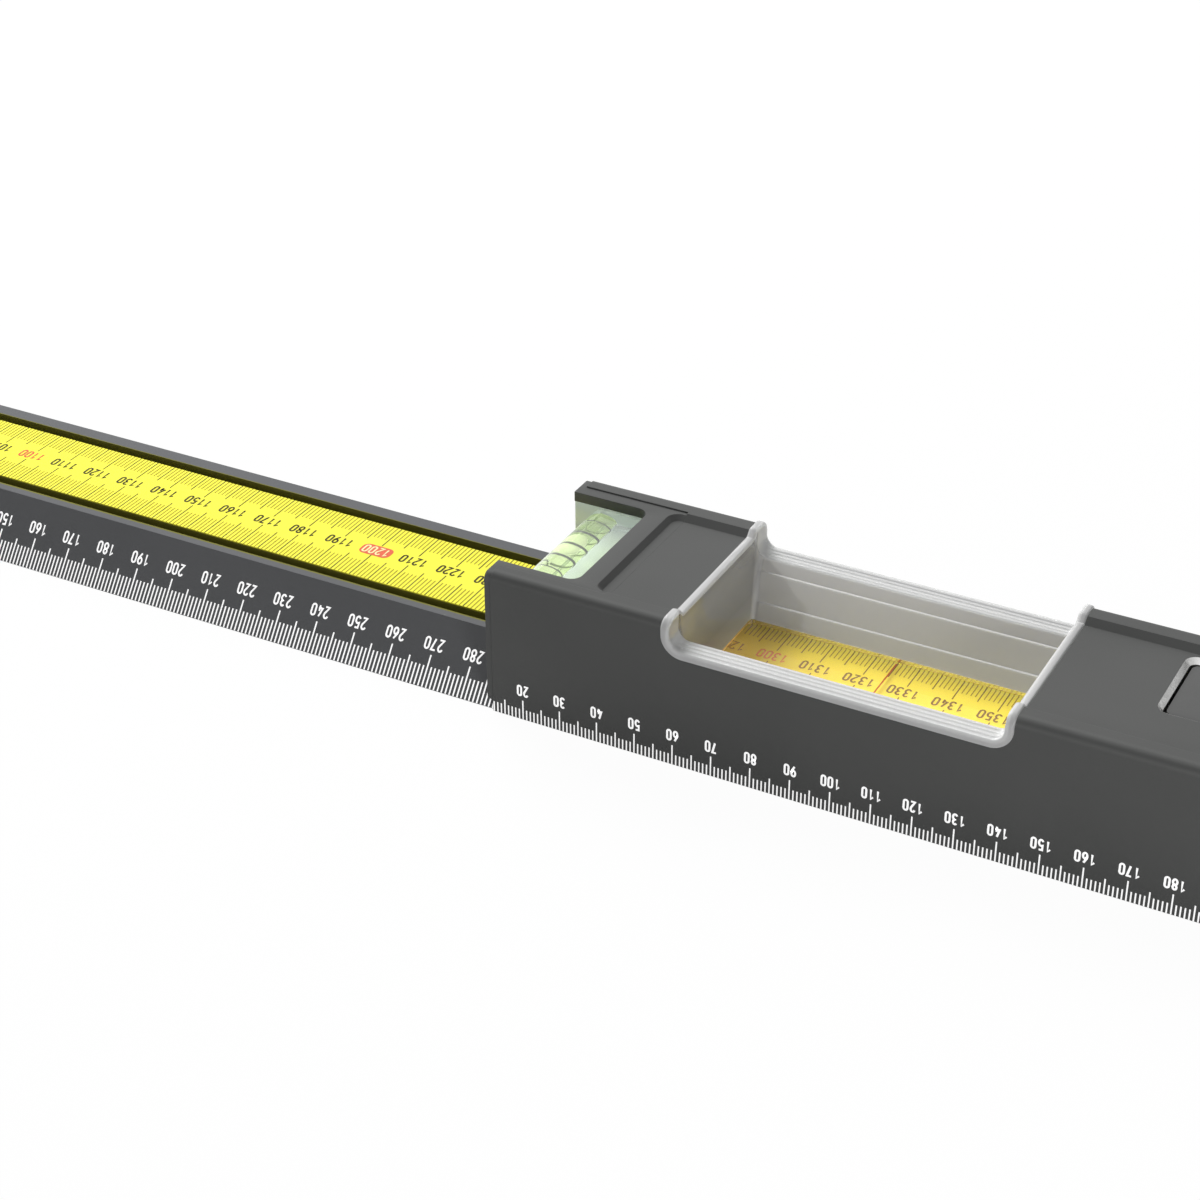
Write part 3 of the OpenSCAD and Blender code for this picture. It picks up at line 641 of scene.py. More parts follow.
@dataclass(frozen=True)
class ClearPlastic(Finish):
    """Clear or milky acrylic, through which light from the lamps and from around passes straight.

    The milk is the share of light that it scatters, and the painted glow is light painted into that share as
    emission, so it shines without a lamp. The glow ends over the fade, a range of Y. Cheeks is the milk of a block's
    outer parts. Ends is a middle along X, a reach from it and the brightness past it, painted shade that darkens the
    milk past the reach. Held back is the share of the milk that light from around doesn't pass.
    """

    name: str
    tint: Colour = (0.95, 0.97, 0.95)
    milk: float = 0.0
    milk_colour: Colour = (0.8, 0.82, 0.8)
    roughness: float = 0.04
    ior: float = 1.49
    shadow: Colour = (0.97, 0.98, 0.97)
    wave: float = 0.05
    carried: float = 0.0
    gloss: float = 0.5
    cheeks: float = 0.0
    fade: Optional[Point2] = None
    ends: Optional[Triple] = None
    cheek_start: Point2 = (0.0165, 0.0185)
    held_back: float = 0.55
    wave_size: float = 260.0
    depth: float = 0.0001

    def shader(self, b: Board) -> Node:
        """Build the shader.

        Args:
            b: Board of the material.

        Returns:
            The shader's node.
        """
        wave = b.grain(self.wave_size)
        rough = b.spread(wave, self.roughness * 0.7, self.roughness * 1.4 + 0.005)
        colour = b.mix(b.spread(wave, 0.0, 0.3), self.tint, tuple(c * 0.96 for c in self.tint))
        shader = b.surface(wave, self.wave, self.depth, {"Base Color": colour, "Roughness": rough, "IOR": self.ior,
                                                         "Transmission Weight": 1.0})
        if self.milk > 0.0:
            shader = b.node("MixShader", {0: self.share(b), 1: shader.outputs[0],
                                          2: self.scatter(b, wave, rough).outputs[0]})
        path = b.node("LightPath").outputs
        spread = b.math("MULTIPLY", path["Is Diffuse Ray"], 1.0 - self.held_back * self.milk)
        straight = b.math("MAXIMUM", path["Is Shadow Ray"], spread)
        through = b.node("BsdfTransparent", {"Color": (*self.shadow, 1.0)})
        return b.node("MixShader", {0: straight, 1: shader.outputs[0], 2: through.outputs[0]})

    def share(self, b: Board) -> Any:
        """Share of light that the milk scatters.

        Args:
            b: Board of the material.

        Returns:
            The share, or the socket that has it where it is larger in the cheeks.
        """
        if not self.cheeks:
            return self.milk
        return b.spread(b.math("ABSOLUTE", b.along(1)), self.milk, self.cheeks, *self.cheek_start)

    def scatter(self, b: Board, wave: NodeSocket, rough: NodeSocket) -> Node:
        """Build the shader of the milk.

        Args:
            b: Board of the material.
            wave: Noise of the surface.
            rough: Roughness of the surface.

        Returns:
            The shader's node.
        """
        base = b.mix(b.spread(wave, 0.0, 0.07), self.milk_colour, self.tint)
        # Painted shade: past the reach from the middle the milk is darker, on the tray's end walls.
        if self.ends:
            middle, reach, dark = self.ends
            painted_end_shade = b.spread(b.away(b.along(0), middle), 1.0, dark, reach - 0.0003, reach + 0.0006)
            base = b.mix(1.0, base, painted_end_shade, "MULTIPLY")
        # Painted glow: emission in the milk that makes the plastic shine without a lamp, fading over Y.
        carried = b.spread(b.along(1), self.carried, 0.0, *self.fade) if self.fade else self.carried
        return b.node("BsdfPrincipled", {"Base Color": base, "Roughness": rough, "IOR": self.ior,
                                         "Specular IOR Level": self.gloss, "Emission Strength": carried,
                                         "Emission Color": (*self.milk_colour, 1.0)})


@dataclass(frozen=True)
class Ink(Finish):
    """Printed ink: flat, slightly uneven in cover and gloss. Its glow is painted light, emission that makes it shine
    without a lamp.
    """

    name: str
    colour: Colour
    roughness: float = 0.5
    cover: float = 0.14
    glow: float = 0.0
    grain_size: float = 5200.0
    texture: float = 0.08
    depth: float = 0.00002
    gloss: float = 0.25

    def shader(self, b: Board) -> Node:
        """Build the shader.

        Args:
            b: Board of the material.

        Returns:
            The shader's node.
        """
        fine = b.grain(self.grain_size)
        thin = tuple(c * (1.0 - self.cover) for c in self.colour)
        colour = b.mix(b.spread(fine, 0.0, 0.5), self.colour, thin)
        rough = b.spread(fine, self.roughness - 0.05, self.roughness + 0.1)
        return b.surface(fine, self.texture, self.depth, {
            "Base Color": colour, "Roughness": rough, "Specular IOR Level": self.gloss,
            "Emission Color": (*self.colour, 1.0), "Emission Strength": self.glow})


@dataclass(frozen=True)
class Workshop:
    """All finishes of the level, each built once."""

    coat: Material
    rail_coat: Material
    black: Material
    grey: Material
    white: Material
    bright: Material
    steel: Material
    rubber: Material
    clear: Material
    frosted: Material
    wall_clear: Material
    vial_clear: Material
    liquid: Material
    bubble: Material
    backing: Material
    line_red: Material
    ring: Material
    tape: Material
    white_ink: Material
    olive_ink: Material
    brown_ink: Material
    red_ink: Material
    pale_ink: Material

    @classmethod
    def open(cls) -> "Workshop":
        """Build every finish and return them."""
        finishes: dict[str, Finish] = dict(
            # The coat's corner strips are painted highlights and a painted dark reflection along the top edge.
            coat=PowderCoat("anthracite_coat", (0.1, 0.102, 0.1), (0.19, 0.19, 0.188),
                            corner=((0.0108, 0.0009, 0.3), (0.0122, 0.0008, -0.13), (0.0139, 0.0012, 0.17))),
            # The rail coat's olive bed colour is painted shade and bounce light from the tape.
            rail_coat=PowderCoat("rail_coat", (0.124, 0.127, 0.132), (0.22, 0.22, 0.23),
                                 groove=(0.19, 0.182, 0.035)),
            black=MouldedPlastic("black_plastic", (0.05, 0.051, 0.05)),
            grey=MouldedPlastic("grey_plastic", (0.1, 0.101, 0.1), specular=0.2),
            white=MouldedPlastic("white_plastic", (0.8, 0.8, 0.76)),
            # The bright cut edge is painted darker on its faces that look along X.
            bright=BareMetal("bright_cut_edge", aside=0.62),
            steel=BareMetal("plated_steel", (0.6, 0.6, 0.61), roughness=0.34),
            rubber=MouldedPlastic("pad_rubber", (0.03, 0.03, 0.03), roughness=0.8, grain_size=1500.0, texture=0.3,
                                  specular=0.2),
            # Painted glow: the clear finishes glow without a lamp; the window pane's strong orange glow lights the
            # tape under it.
            clear=ClearPlastic("clear_window", (1.0, 0.93, 0.93), milk=0.03, milk_colour=(1.0, 0.55, 0.12),
                               roughness=0.0, ior=1.3, shadow=(1.0, 0.98, 0.97), wave=0.0, carried=3.2, gloss=0.2,
                               fade=(0.002, 0.016)),
            frosted=ClearPlastic("milky_flange", (0.96, 0.96, 0.96), milk=0.68, milk_colour=(0.73, 0.73, 0.73),
                                 roughness=0.14, wave=0.01, carried=0.02),
            # The milky wall's ends paint shade on the tray's end walls.
            wall_clear=ClearPlastic("milky_wall", (0.97, 0.965, 0.96), milk=0.62, milk_colour=(0.78, 0.768, 0.756),
                                    roughness=0.03, wave=0.0, carried=0.06, gloss=1.1, ends=(-0.2707, 0.0384, 0.5)),
            vial_clear=ClearPlastic("vial_acrylic", (0.97, 0.99, 0.97), milk=0.14, milk_colour=(0.74, 0.83, 0.77),
                                    roughness=0.02, shadow=(0.97, 0.99, 0.97), wave=0.0, carried=0.2, cheeks=0.5),
            liquid=ClearPlastic("vial_liquid", (0.92, 0.99, 0.58), milk=0.1, milk_colour=(0.6, 0.88, 0.2),
                                roughness=0.01, ior=0.95, shadow=(0.92, 0.99, 0.7), wave=0.0, carried=0.2),
            bubble=ClearPlastic("vial_bubble", (1.0, 1.0, 1.0), milk=0.55, milk_colour=(0.9, 0.95, 0.86),
                                roughness=0.0, ior=0.9, shadow=(1.0, 1.0, 1.0), wave=0.0, carried=0.2),
            # The glows of the backing and of the white ink are painted light.
            backing=Ink("backing_white", (0.78, 0.84, 0.8), glow=0.16),
            line_red=Ink("line_red", (0.5, 0.07, 0.02)),
            ring=Ink("ring_print", (0.07, 0.08, 0.05)),
            tape=Ink("tape_yellow", (1.0, 0.95, 0.085), roughness=0.45, cover=0.04),
            white_ink=Ink("white_ink", (0.97, 0.97, 0.97), glow=0.6),
            olive_ink=Ink("olive_ink", (0.045, 0.04, 0.01)),
            brown_ink=Ink("brown_ink", (0.33, 0.26, 0.02)),
            red_ink=Ink("red_ink", (0.82, 0.16, 0.09)),
            pale_ink=Ink("pale_ink", (1.0, 0.92, 0.5)),
        )
        return cls(**{key: finish.material() for key, finish in finishes.items()})

    def dress(self, node: str, material: Material) -> None:
        """Give a kept CAD node its finish.

        Args:
            node: Name of the CAD node.
            material: Its finish.
        """
        thing = frame["nodes"][node]
        thing.data.materials.clear()
        thing.data.materials.append(material)
        log.info("dressed %s with %s", node, material.name)


# ---------------------------------------------------------------- printed scales

class TickChoice(Enum):
    """Which lines of a millimetre scale a row holds."""

    ALL = (True, True)
    FINE = (True, False)
    STRONG = (False, True)


@dataclass(frozen=True)
class TickRow:
    """Row of scale lines, made by Geometry Nodes and laid on a print plane."""

    name: str
    plane: PrintPlane
    first: int
    last: int
    start: float
    pitch: float
    base: float
    lengths: Triple
    width: float = 0.35
    choice: TickChoice = TickChoice.ALL
    flip: bool = False

    def group(self, ink: Material) -> tuple[NodeTree, dict[str, str]]:
        """Build the node group that lays the lines.

        Args:
            ink: Ink of the lines.

        Returns:
            The group and the identifiers of its inputs by name.
        """
        b = Board(bpy.data.node_groups.new(self.name + "_lines", "GeometryNodeTree"))
        face = b.tree.interface
        kinds = {"Count": "Int", "Phase": "Int", "Pitch": "Float", "Width": "Float", "Short": "Float",
                 "Middle": "Float", "Long": "Float", "Fine": "Bool", "Strong": "Bool"}
        names = {k: face.new_socket(k, in_out="INPUT", socket_type="NodeSocket" + v).identifier
                 for k, v in kinds.items()}
        face.new_socket("Geometry", in_out="OUTPUT", socket_type="NodeSocketGeometry")
        given = b.add("NodeGroupInput").outputs
        step = b.node("CombineXYZ", {0: given["Pitch"]}).outputs[0]
        line = b.add("GeometryNodeMeshLine", {"Count": given["Count"], "Offset": step}).outputs[0]
        reading = b.math("ADD", b.add("GeometryNodeInputIndex").outputs[0], given["Phase"])
        fifth, tenth = (b.math("LESS_THAN", b.math("FLOORED_MODULO", reading, count), 0.5) for count in (5.0, 10.0))
        strong = b.math("MULTIPLY", fifth, given["Strong"])
        fine = b.math("MULTIPLY", b.math("SUBTRACT", 1.0, fifth), given["Fine"])
        length = b.node("Mix", {0: fifth, 2: given["Short"], 3: given["Middle"]}).outputs[0]
        length = b.node("Mix", {0: tenth, 2: length, 3: given["Long"]}).outputs[0]
        size = b.node("CombineXYZ", {0: given["Width"], 1: length, 2: 1.0}).outputs[0]
        quad = b.add("GeometryNodeMeshGrid", {"Vertices X": 2, "Vertices Y": 2}).outputs[0]
        quad = b.add("GeometryNodeTransform", {"Geometry": quad, "Translation": (0.0, 0.5, 0.0)}).outputs[0]
        rows = b.add("GeometryNodeInstanceOnPoints", {"Points": line, "Selection": b.math("ADD", strong, fine),
                                                      "Instance": quad, "Scale": size}).outputs[0]
        real = b.add("GeometryNodeRealizeInstances", {0: rows}).outputs[0]
        inked = b.add("GeometryNodeSetMaterial", {"Geometry": real, "Material": ink}).outputs[0]
        b.add("NodeGroupOutput", {0: inked})
        return b.tree, names

    def build(self, ink: Material, body: str, slot: str) -> Object:
        """Make the row as a plain mesh.

        Args:
            ink: Ink of the lines.
            body: CAD body that it rides on.
            slot: Not used.

        Returns:
            The row.
        """
        thing = shown(self.name, bpy.data.meshes.new(self.name))
        tree, names = self.group(ink)
        values = {"Count": self.last - self.first + 1, "Phase": self.first, "Pitch": self.pitch * MM,
                  "Width": self.width * MM, "Short": self.lengths[0] * MM, "Middle": self.lengths[1] * MM,
                  "Long": self.lengths[2] * MM, "Fine": self.choice.value[0], "Strong": self.choice.value[1]}
        lines = thing.modifiers.new("lines", "NODES")
        lines.node_group = tree
        for key, value in values.items():
            lines[names[key]] = value
        settled(thing)
        thing.data.transform(self.plane.matrix(self.start, self.base, self.flip))
        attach(thing, body)
        log.info("printed %s: %d lines", self.name, len(thing.data.polygons))
        return thing


@dataclass(frozen=True)
class Figures:
    """Upright engineering figures drawn as strokes in a cell one high."""

    width: float = 0.36

    def strokes(self, figure: str) -> list[tuple[list[Point2], bool]]:
        """Centre lines of a figure.

        Args:
            figure: A figure from 0 to 9.

        Returns:
            Its strokes, each with whether it is closed.
        """
        w = self.width
        half = w / 2
        six = [(bow(half, 0.29, half, 0.29, 0, 345, 15), True),
               ([(0.02 * w, 0.36), (0.12 * w, 0.56), (0.74 * w, 1.0)], False)]
        shapes: dict[str, list[tuple[list[Point2], bool]]] = {
            "0": [(bow(half, 1 - half * 1.1, half, half * 1.1, 0, 180, 8)
                   + bow(half, half * 1.1, half, half * 1.1, 180, 360, 8), True)],
            "1": [([(0.05 * w, 0.74), (0.62 * w, 1.0), (0.62 * w, 0.0)], False)],
            "2": [(bow(half, 0.74, half, 0.26, 165, -38, 9) + [(0.0, 0.0), (w, 0.0)], False)],
            "3": [(bow(half * 0.94, 0.77, half * 0.9, 0.23, 150, -80, 8)
                   + bow(half * 0.96, 0.27, half * 1.04, 0.27, 84, -155, 9), False)],
            "4": [([(0.6 * w, 1.0), (0.0, 0.25), (w, 0.25)], False), ([(0.74 * w, 0.52), (0.74 * w, 0.0)], False)],
            "5": [([(0.92 * w, 1.0), (0.12 * w, 1.0), (0.06 * w, 0.53)]
                   + bow(half * 0.96, 0.3, half * 1.04, 0.3, 118, -155, 10), False)],
            "6": six,
            "7": [([(0.0, 1.0), (w, 1.0), (0.34 * w, 0.0)], False)],
            "8": [(bow(half, 0.27, half, 0.27, 0, 345, 14), True),
                  (bow(half, 0.77, half * 0.88, 0.23, 0, 345, 12), True)],
        }
        if figure == "9":
            return [([(w - x, 1 - y) for x, y in line], closed) for line, closed in six]
        return shapes[figure]

    @staticmethod
    def ribbon(line: list[Point2], closed: bool, half: float) -> tuple[list[Point2], Faces]:
        """Widen a stroke.

        Args:
            line: Its centre line.
            closed: Whether it is closed.
            half: Half of its width.

        Returns:
            Points and faces of the flat ribbon.
        """
        points: list[Point2] = []
        for (x, y), (mx, my) in zip(line, mitres(line, closed, 0.3)):
            points += [(x - mx * half, y - my * half), (x + mx * half, y + my * half)]
        count = len(line)
        steps = count if closed else count - 1
        faces = [(2 * i, 2 * ((i + 1) % count), 2 * ((i + 1) % count) + 1, 2 * i + 1) for i in range(steps)]
        return points, faces


@dataclass(frozen=True)
class NumberRow:
    """Row of numbers that stand upside down along a scale."""

    name: str
    plane: PrintPlane
    values: Sequence[int]
    zero: float
    pitch: float
    base: float
    height: float
    width: float
    advance: float
    stroke: float = 0.38

    def build(self, ink: Material, body: str, slot: str) -> Object:
        """Make the numbers as one flat mesh.

        Args:
            ink: Ink of the numbers.
            body: CAD body that they ride on.
            slot: Not used.

        Returns:
            The numbers.
        """
        draft = Draft()
        inner_w, inner_h = self.width - self.stroke, self.height - self.stroke
        figures = Figures(inner_w / inner_h)
        half = self.stroke / 2 / inner_h
        for value in self.values:
            text = str(value)
            for i, figure in enumerate(text):
                right = self.zero + value * self.pitch - (i - (len(text) - 1) / 2) * self.advance
                for line, closed in figures.strokes(figure):
                    points, faces = figures.ribbon(line, closed, half)
                    draft.add([self.plane.place(right - (x * inner_h - inner_w / 2),
                                                self.base - self.stroke / 2 - y * inner_h) for x, y in points], faces)
        thing = draft.piece(self.name, ink)
        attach(thing, body)
        log.info("printed %s: %d numbers", self.name, len(self.values))
        return thing


# ---------------------------------------------------------------- sub-assemblies

@dataclass
class Assembly(ABC):
    """Sub-assembly that is made at the bench with the shop's finishes."""

    bench: Bench
    shop: Workshop

    @abstractmethod
    def build(self) -> None:
        """Make or dress all its pieces."""


@dataclass
class OuterProfile(Assembly):
    """Coated outer profile with its bright cut edges and the printed scale."""

    brake_opening: Box2 = (166.0, 19.6, 210.0, 44.7)
    vial_opening: Box2 = (504.5, 14.9, 555.5, 37.9)
    trough: float = 36.9
    bevel: float = 1.2
    corner: float = 3.0

    def bright_edge(self, name: str, box: Box2) -> Object:
        """Bright bevel round an opening.

        Args:
            name: Name of the piece.
            box: Lowest X and Y and highest X and Y of its outer line.

        Returns:
            The closed ring of bare metal.
        """
        low, top = self.bevel + 0.02, -self.bevel
        section = [(0.014, 0.0), (self.bevel - 0.02, top + 0.04), (low, top), (low, top - 0.3),
                   (self.bevel - 0.1, top - 0.3), (0.0, -0.1), (-0.02, -0.03)]
        draft = Draft()
        draft.loft([[self.bench.at(x, y, self.trough + height)
                     for x, y in rounded(box, self.corner, self.corner - inset, 10)]
                    for inset, height in section], closed=True)
        thing = shaded(draft.piece(name, self.shop.bright), 30)
        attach(thing, "body")
        return thing

    def scale(self) -> None:
        """Print the millimetre scale along the scale face."""
        face = PrintPlane(self.bench.at(0, 0, 0), X_AXIS, Z_AXIS)
        TickRow("body_scale_lines", face, first=12, last=1048, start=12.0, pitch=1.0, base=0.06,
                lengths=(2.8, 4.15, 5.4)).build(self.shop.white_ink, "body", "profile")
        NumberRow("body_scale_numbers", face, range(20, 1041, 10), zero=0.0, pitch=1.0, base=9.75, height=3.2,
                  width=1.45, advance=1.7, stroke=0.5).build(self.shop.white_ink, "body", "profile")

    def build(self) -> None:
        """Dress the profile, cut its bright edges and print its scale."""
        self.shop.dress("body_profile", self.shop.coat)
        self.bright_edge("brake_opening_edge", self.brake_opening)
        self.bright_edge("main_vial_opening_edge", self.vial_opening)
        self.scale()
        self.shop.dress("glide_strips", self.shop.black)


@dataclass
class Vial:
    """Liquid and bubble of a spirit vial, seen through the clear block that holds them without a gap."""

    name: str
    centre: Vector
    axis: Vector
    half: float
    bore: float
    barrel: float = 4.43
    bubble_half: float = 5.2
    rings: Sequence[Point2] = ((-12.1, 0.4), (-6.05, 0.85), (0.0, 0.85), (6.05, 0.85), (12.1, 0.4))
    steps: int = 96
    bubble_width: float = 0.82
    bubble_middle: float = 0.55
    bubble_height: float = 0.43
    bubble_lift: float = 0.9
    bubble_blunt: float = 0.7
    film: float = 0.08

    def spot(self, along: float, side: float, height: float) -> Vector:
        """Point of the vial, along its axis, beside it and over it, in mm."""
        across = self.axis.cross(Z_AXIS)
        return self.centre + (self.axis * along + across * side + Z_AXIS * height) * MM

    def ring(self, along: float, radius: float) -> list[Vector]:
        """Circle round the vial's axis."""
        turns = [2 * math.pi * i / self.steps for i in range(self.steps)]
        return [self.spot(along, radius * math.cos(t), radius * math.sin(t)) for t in turns]

    def turned(self, outline: Sequence[Point2], name: str, material: Material) -> Object:
        """Turn an outline round the vial's axis.

        Args:
            outline: Places along the axis and radii, from one end to the other.
            name: Name of the piece.
            material: Its finish.

        Returns:
            The closed round piece.
        """
        draft = Draft()
        draft.tube([self.ring(*place) for place in outline])
        return shaded(face_out(draft.piece(name, material)), 40)

    def bands(self, material: Material) -> Object:
        """Make the printed rings round the bore, the outer pair thinner.

        Args:
            material: Their finish.

        Returns:
            The rings as one piece.
        """
        draft = Draft()
        for middle, width in self.rings:
            section = ((-1, 0.01), (-1, 0.1), (1, 0.1), (1, 0.01))
            draft.loft([self.ring(middle + side * width / 2, self.bore + height) for side, height in section],
                       closed=True)
        return face_out(draft.piece(self.name + "_bands", material))

    def liquid(self, material: Material) -> Object:
        """Make the liquid, with rounded ends.

        Args:
            material: Its finish.

        Returns:
            The closed piece.
        """
        right = bow(self.half - 1, self.bore - 1, 1, 1, 90, 0, 6)
        left = [(-a, r) for a, r in reversed(right)]
        return self.turned(left + right, self.name + "_liquid", material)

    def bubble(self, material: Material) -> Object:
        """Make the bubble that lies under the top of the bore.

        Args:
            material: Its finish.

        Returns:
            The closed piece.
        """
        rows, count = 28, 40
        rings = []
        for r in range(rows + 1):
            angle = math.pi * r / rows
            along = -self.bubble_half * math.cos(angle)
            scale = max(0.02, math.sin(angle)) ** self.bubble_blunt
            ring = []
            for i in range(count):
                turn = 2 * math.pi * i / count
                side = self.bubble_width * self.bore * scale * math.cos(turn)
                height = (self.bubble_middle * self.bore + self.bubble_height * self.bore * math.sin(turn) * scale
                          + self.bubble_lift * (1 - scale))
                roof = math.sqrt(max(0.01, (self.bore - self.film) ** 2 - side ** 2))
                ring.append(self.spot(along, side, min(height, roof)))
            rings.append(ring)
        draft = Draft()
        draft.tube(rings)
        thing = face_out(draft.piece(self.name + "_bubble", material))
        thing.data.shade_smooth()
        return thing

    def block(self, node: str, reach: Point2, material: Material) -> Object:
        """Copy the clear block, with its bore filled because the liquid wets it.

        Args:
            node: CAD node of the block.
            reach: Places along the axis between which the bore is filled, in mm.
            material: Finish of the block.

        Returns:
            The block, which replaces the node.
        """
        core = self.turned([(along, self.barrel) for along in reach], self.name + "_core", material)
        thing = eased_copy(node, 0.12, material, angle=50.0, segments=2, core=core)
        bpy.data.objects.remove(core)
        return thing

    def build(self, node: str, reach: Point2, shop: "Workshop") -> None:
        """Make block, liquid and bubble.

        Args:
            node: Name of the vial's CAD nodes without their last word.
            reach: Places along the axis between which the bore is filled, in mm.
            shop: The finishes.
        """
        self.block(node + "_block", reach, shop.vial_clear)
        liquid = self.liquid(shop.liquid)
        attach(liquid, "body")
        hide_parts(node + "_liquid")
        bubble = self.bubble(shop.bubble)
        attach(bubble, "body")
        bands = self.bands(shop.ring)
        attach(bands, "body")
        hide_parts(node + "_rings")
        log.info("%s filled", self.name)


@dataclass
class VialEnd(Assembly):
    """Left end: the housing and the cross vial in its notch."""

    marks: Triple = (10.3, 33.0, 39.8)
    notch_half: float = 0.0206
    seam_shift: float = 0.0001

    def build(self) -> None:
        """Round the edges of the housing's end and notch, close its seam and fill the vial."""
        end, notch_end, seam = (self.bench.at(x, 0, 0).x for x in self.marks)
        housing = eased_copy("vial_housing", 0.7, self.shop.coat, segments=4,
                             where=lambda p: p.x < end or (p.x < notch_end and abs(p.y) < self.notch_half),
                             shift=lambda p: self.seam_shift if p.x > seam - 1e-5 else 0.0)
        self.shop.dress("vial_backing", self.shop.backing)
        Vial("cross_vial", self.bench.at(19.0, 26.4, 31.09), Y_AXIS, half=16.6, bore=3.95).build(
            "cross_vial", (-20.0, 19.2), self.shop)
        self.shop.dress("housing_screws", self.shop.steel)


@dataclass
class ReadingWindow(Assembly):
    """Moulded tray over the tape: rounded flange, ribbed sills, sloping walls, clear floor and reading line.

    Its heights and widths are mm of the bench. The section runs round the flange: inset from its end and height.
    """

    left: float = 56.7
    right: float = 141.5
    width: float = 52.8
    height: float = 38.5
    trough: float = 36.9
    rim: float = 5.5
    edge: float = 2.2
    foot: float = 29.7
    sill: float = 31.8
    band: float = 2.1
    corner: float = 5.5
    fillet: float = 3.0
    plan: float = 1.6
    sill_width: float = 5.2
    draft: Point2 = (2.2, 6.8)
    floor: Point2 = (15.4, 18.4)
    ledges: Point2 = (28.8, 22.4)
    ledge: float = 0.35
    skin: float = 0.9
    ribs: Triple = (1.15, 2.6, 4.0)
    rib: float = 0.24
    rib_half: float = 0.62
    fall: float = 0.22
    fall_start: float = 4.78
    lap: float = 0.1
    ledge_half: float = 0.06
    bend_steps: int = 12
    hollow: float = 27.0
    section: Sequence[Point2] = ((0.0, -0.02), (0.0, 0.18), (0.06, 0.38), (0.2, 0.53), (0.42, 0.6), (0.85, 0.64),
                                 (1.3, 0.64), (1.62, 0.6), (1.86, 0.5), (2.02, 0.32), (2.1, 0.08), (2.1, -0.3),
                                 (1.36, -0.3), (1.34, -0.02))

    def crest(self, y: float) -> float:
        """Height of the profile's outer contour.

        Args:
            y: Distance from the scale face.

        Returns:
            The height over the base.
        """
        y = min(y, self.width - y)
        if y < self.edge:
            return self.height - self.edge + math.sqrt(max(0.0, self.edge ** 2 - (self.edge - max(0.0, y)) ** 2))
        return min(self.height, max(self.trough, self.height - (y - self.rim)))

    def contour(self) -> list[Point2]:
        """Draw the profile's outer contour.

        Returns:
            Its points from the flange's foot at the front to its foot at the back.
        """
        half = [(0.0, self.foot + self.corner)]
        half += bow(self.edge, self.height - self.edge, self.edge, self.edge, 180, 90, 10)
        half += [(self.rim - 0.25, self.height), (self.rim + 0.18, self.height - 0.18),
                 (self.rim + 1.42, self.trough + 0.18), (self.rim + 1.85, self.trough)]
        return half + [(self.width - y, z) for y, z in reversed(half)]

    def flange(self) -> Object:
        """Make the rounded band that follows the contour, down both sides and under the sills.

        Returns:
            The closed band.
        """
        line = self.contour()
        over = [[(d, y + my * h, z + mz * h) for d, h in self.section]
                for (y, z), (my, mz) in zip(line, mitres(line))][1:-1]
        low, high = self.left + self.corner, self.right - self.corner
        rings = self.bend(low, 270, 180, -1)
        rings += [[self.bench.at(self.left + d, y, z) for d, y, z in ring] for ring in over]
        rings += self.bend(low, 180, 270, 1) + self.bend(high, 270, 360, 1)
        rings += [[self.bench.at(self.right - d, y, z) for d, y, z in ring] for ring in reversed(over)]
        rings += self.bend(high, 0, -90, -1)
        draft = Draft()
        draft.loft(rings, closed=True)
        return shaded(face_out(draft.piece("window_flange", self.shop.frosted)), 50)

    def bend(self, x: float, start: float, end: float, side: int) -> list[list[Vector]]:
        """Lead the flange's section round a corner on a side face.

        Args:
            x: Middle of the corner along the profile.
            start: Direction from the middle to the first section, in degrees.
            end: Direction to the last section.
            side: -1 at the scale face, 1 at the back.

        Returns:
            The sections round the corner.
        """
        middle = self.foot + self.corner
        arcs = [(-h if side < 0 else self.width + h,
                 bow(x, middle, self.corner - d, self.corner - d, start, end, self.bend_steps))
                for d, h in self.section]
        return [[self.bench.at(arc[k][0], y, arc[k][1]) for y, arc in arcs] for k in range(self.bend_steps + 1)]

    def inner_edge(self, x: float) -> float:
        """Distance of the sill's inner edge from its side face.

        Args:
            x: Distance from the end wall.

        Returns:
            The distance, which grows into the corner.
        """
        if x >= self.plan:
            return self.sill_width
        return self.sill_width + self.plan - math.sqrt(self.plan ** 2 - (self.plan - x) ** 2)

    def posts(self) -> Triple:
        """Places across an end wall: at the sill's edge, at the rim's foot and in the middle."""
        return self.sill_width + self.plan, self.rim + 1.6, self.width / 2

    def steps(self) -> list[tuple[float, float, Point2, float]]:
        """Rows of a sill from its end wall to its straight part.

        Returns:
            Distance from the end wall, height, direction into the opening, and share of the ribs.
        """
        rows = []
        for k in range(11):
            a = math.radians(180 + 9 * k)
            share = max(0.0, (k - 5) / 5)
            rows.append((self.fillet + self.fillet * math.cos(a), self.sill + self.fillet + self.fillet * math.sin(a),
                         (-math.cos(a), -math.sin(a)), share * share * (3 - 2 * share)))
        return rows

    def across(self) -> list[Point2]:
        """Section across a sill.

        Returns:
            Distances from the side face, and the height of the ribs there.
        """
        places = [-0.3, 0.0, 0.3] + [0.5 + 0.13 * i for i in range(32)] + [self.fall_start, 4.95, 5.08]
        found = []
        for y in places:
            swell = sum(0.5 + 0.5 * math.cos(math.pi * (y - r) / self.rib_half)
                        for r in self.ribs if abs(y - r) < self.rib_half)
            fall = -self.fall * max(0.0, (y - self.fall_start) / (self.sill_width - self.fall_start)) ** 2
            found.append((y, self.rib * swell + fall))
        return found

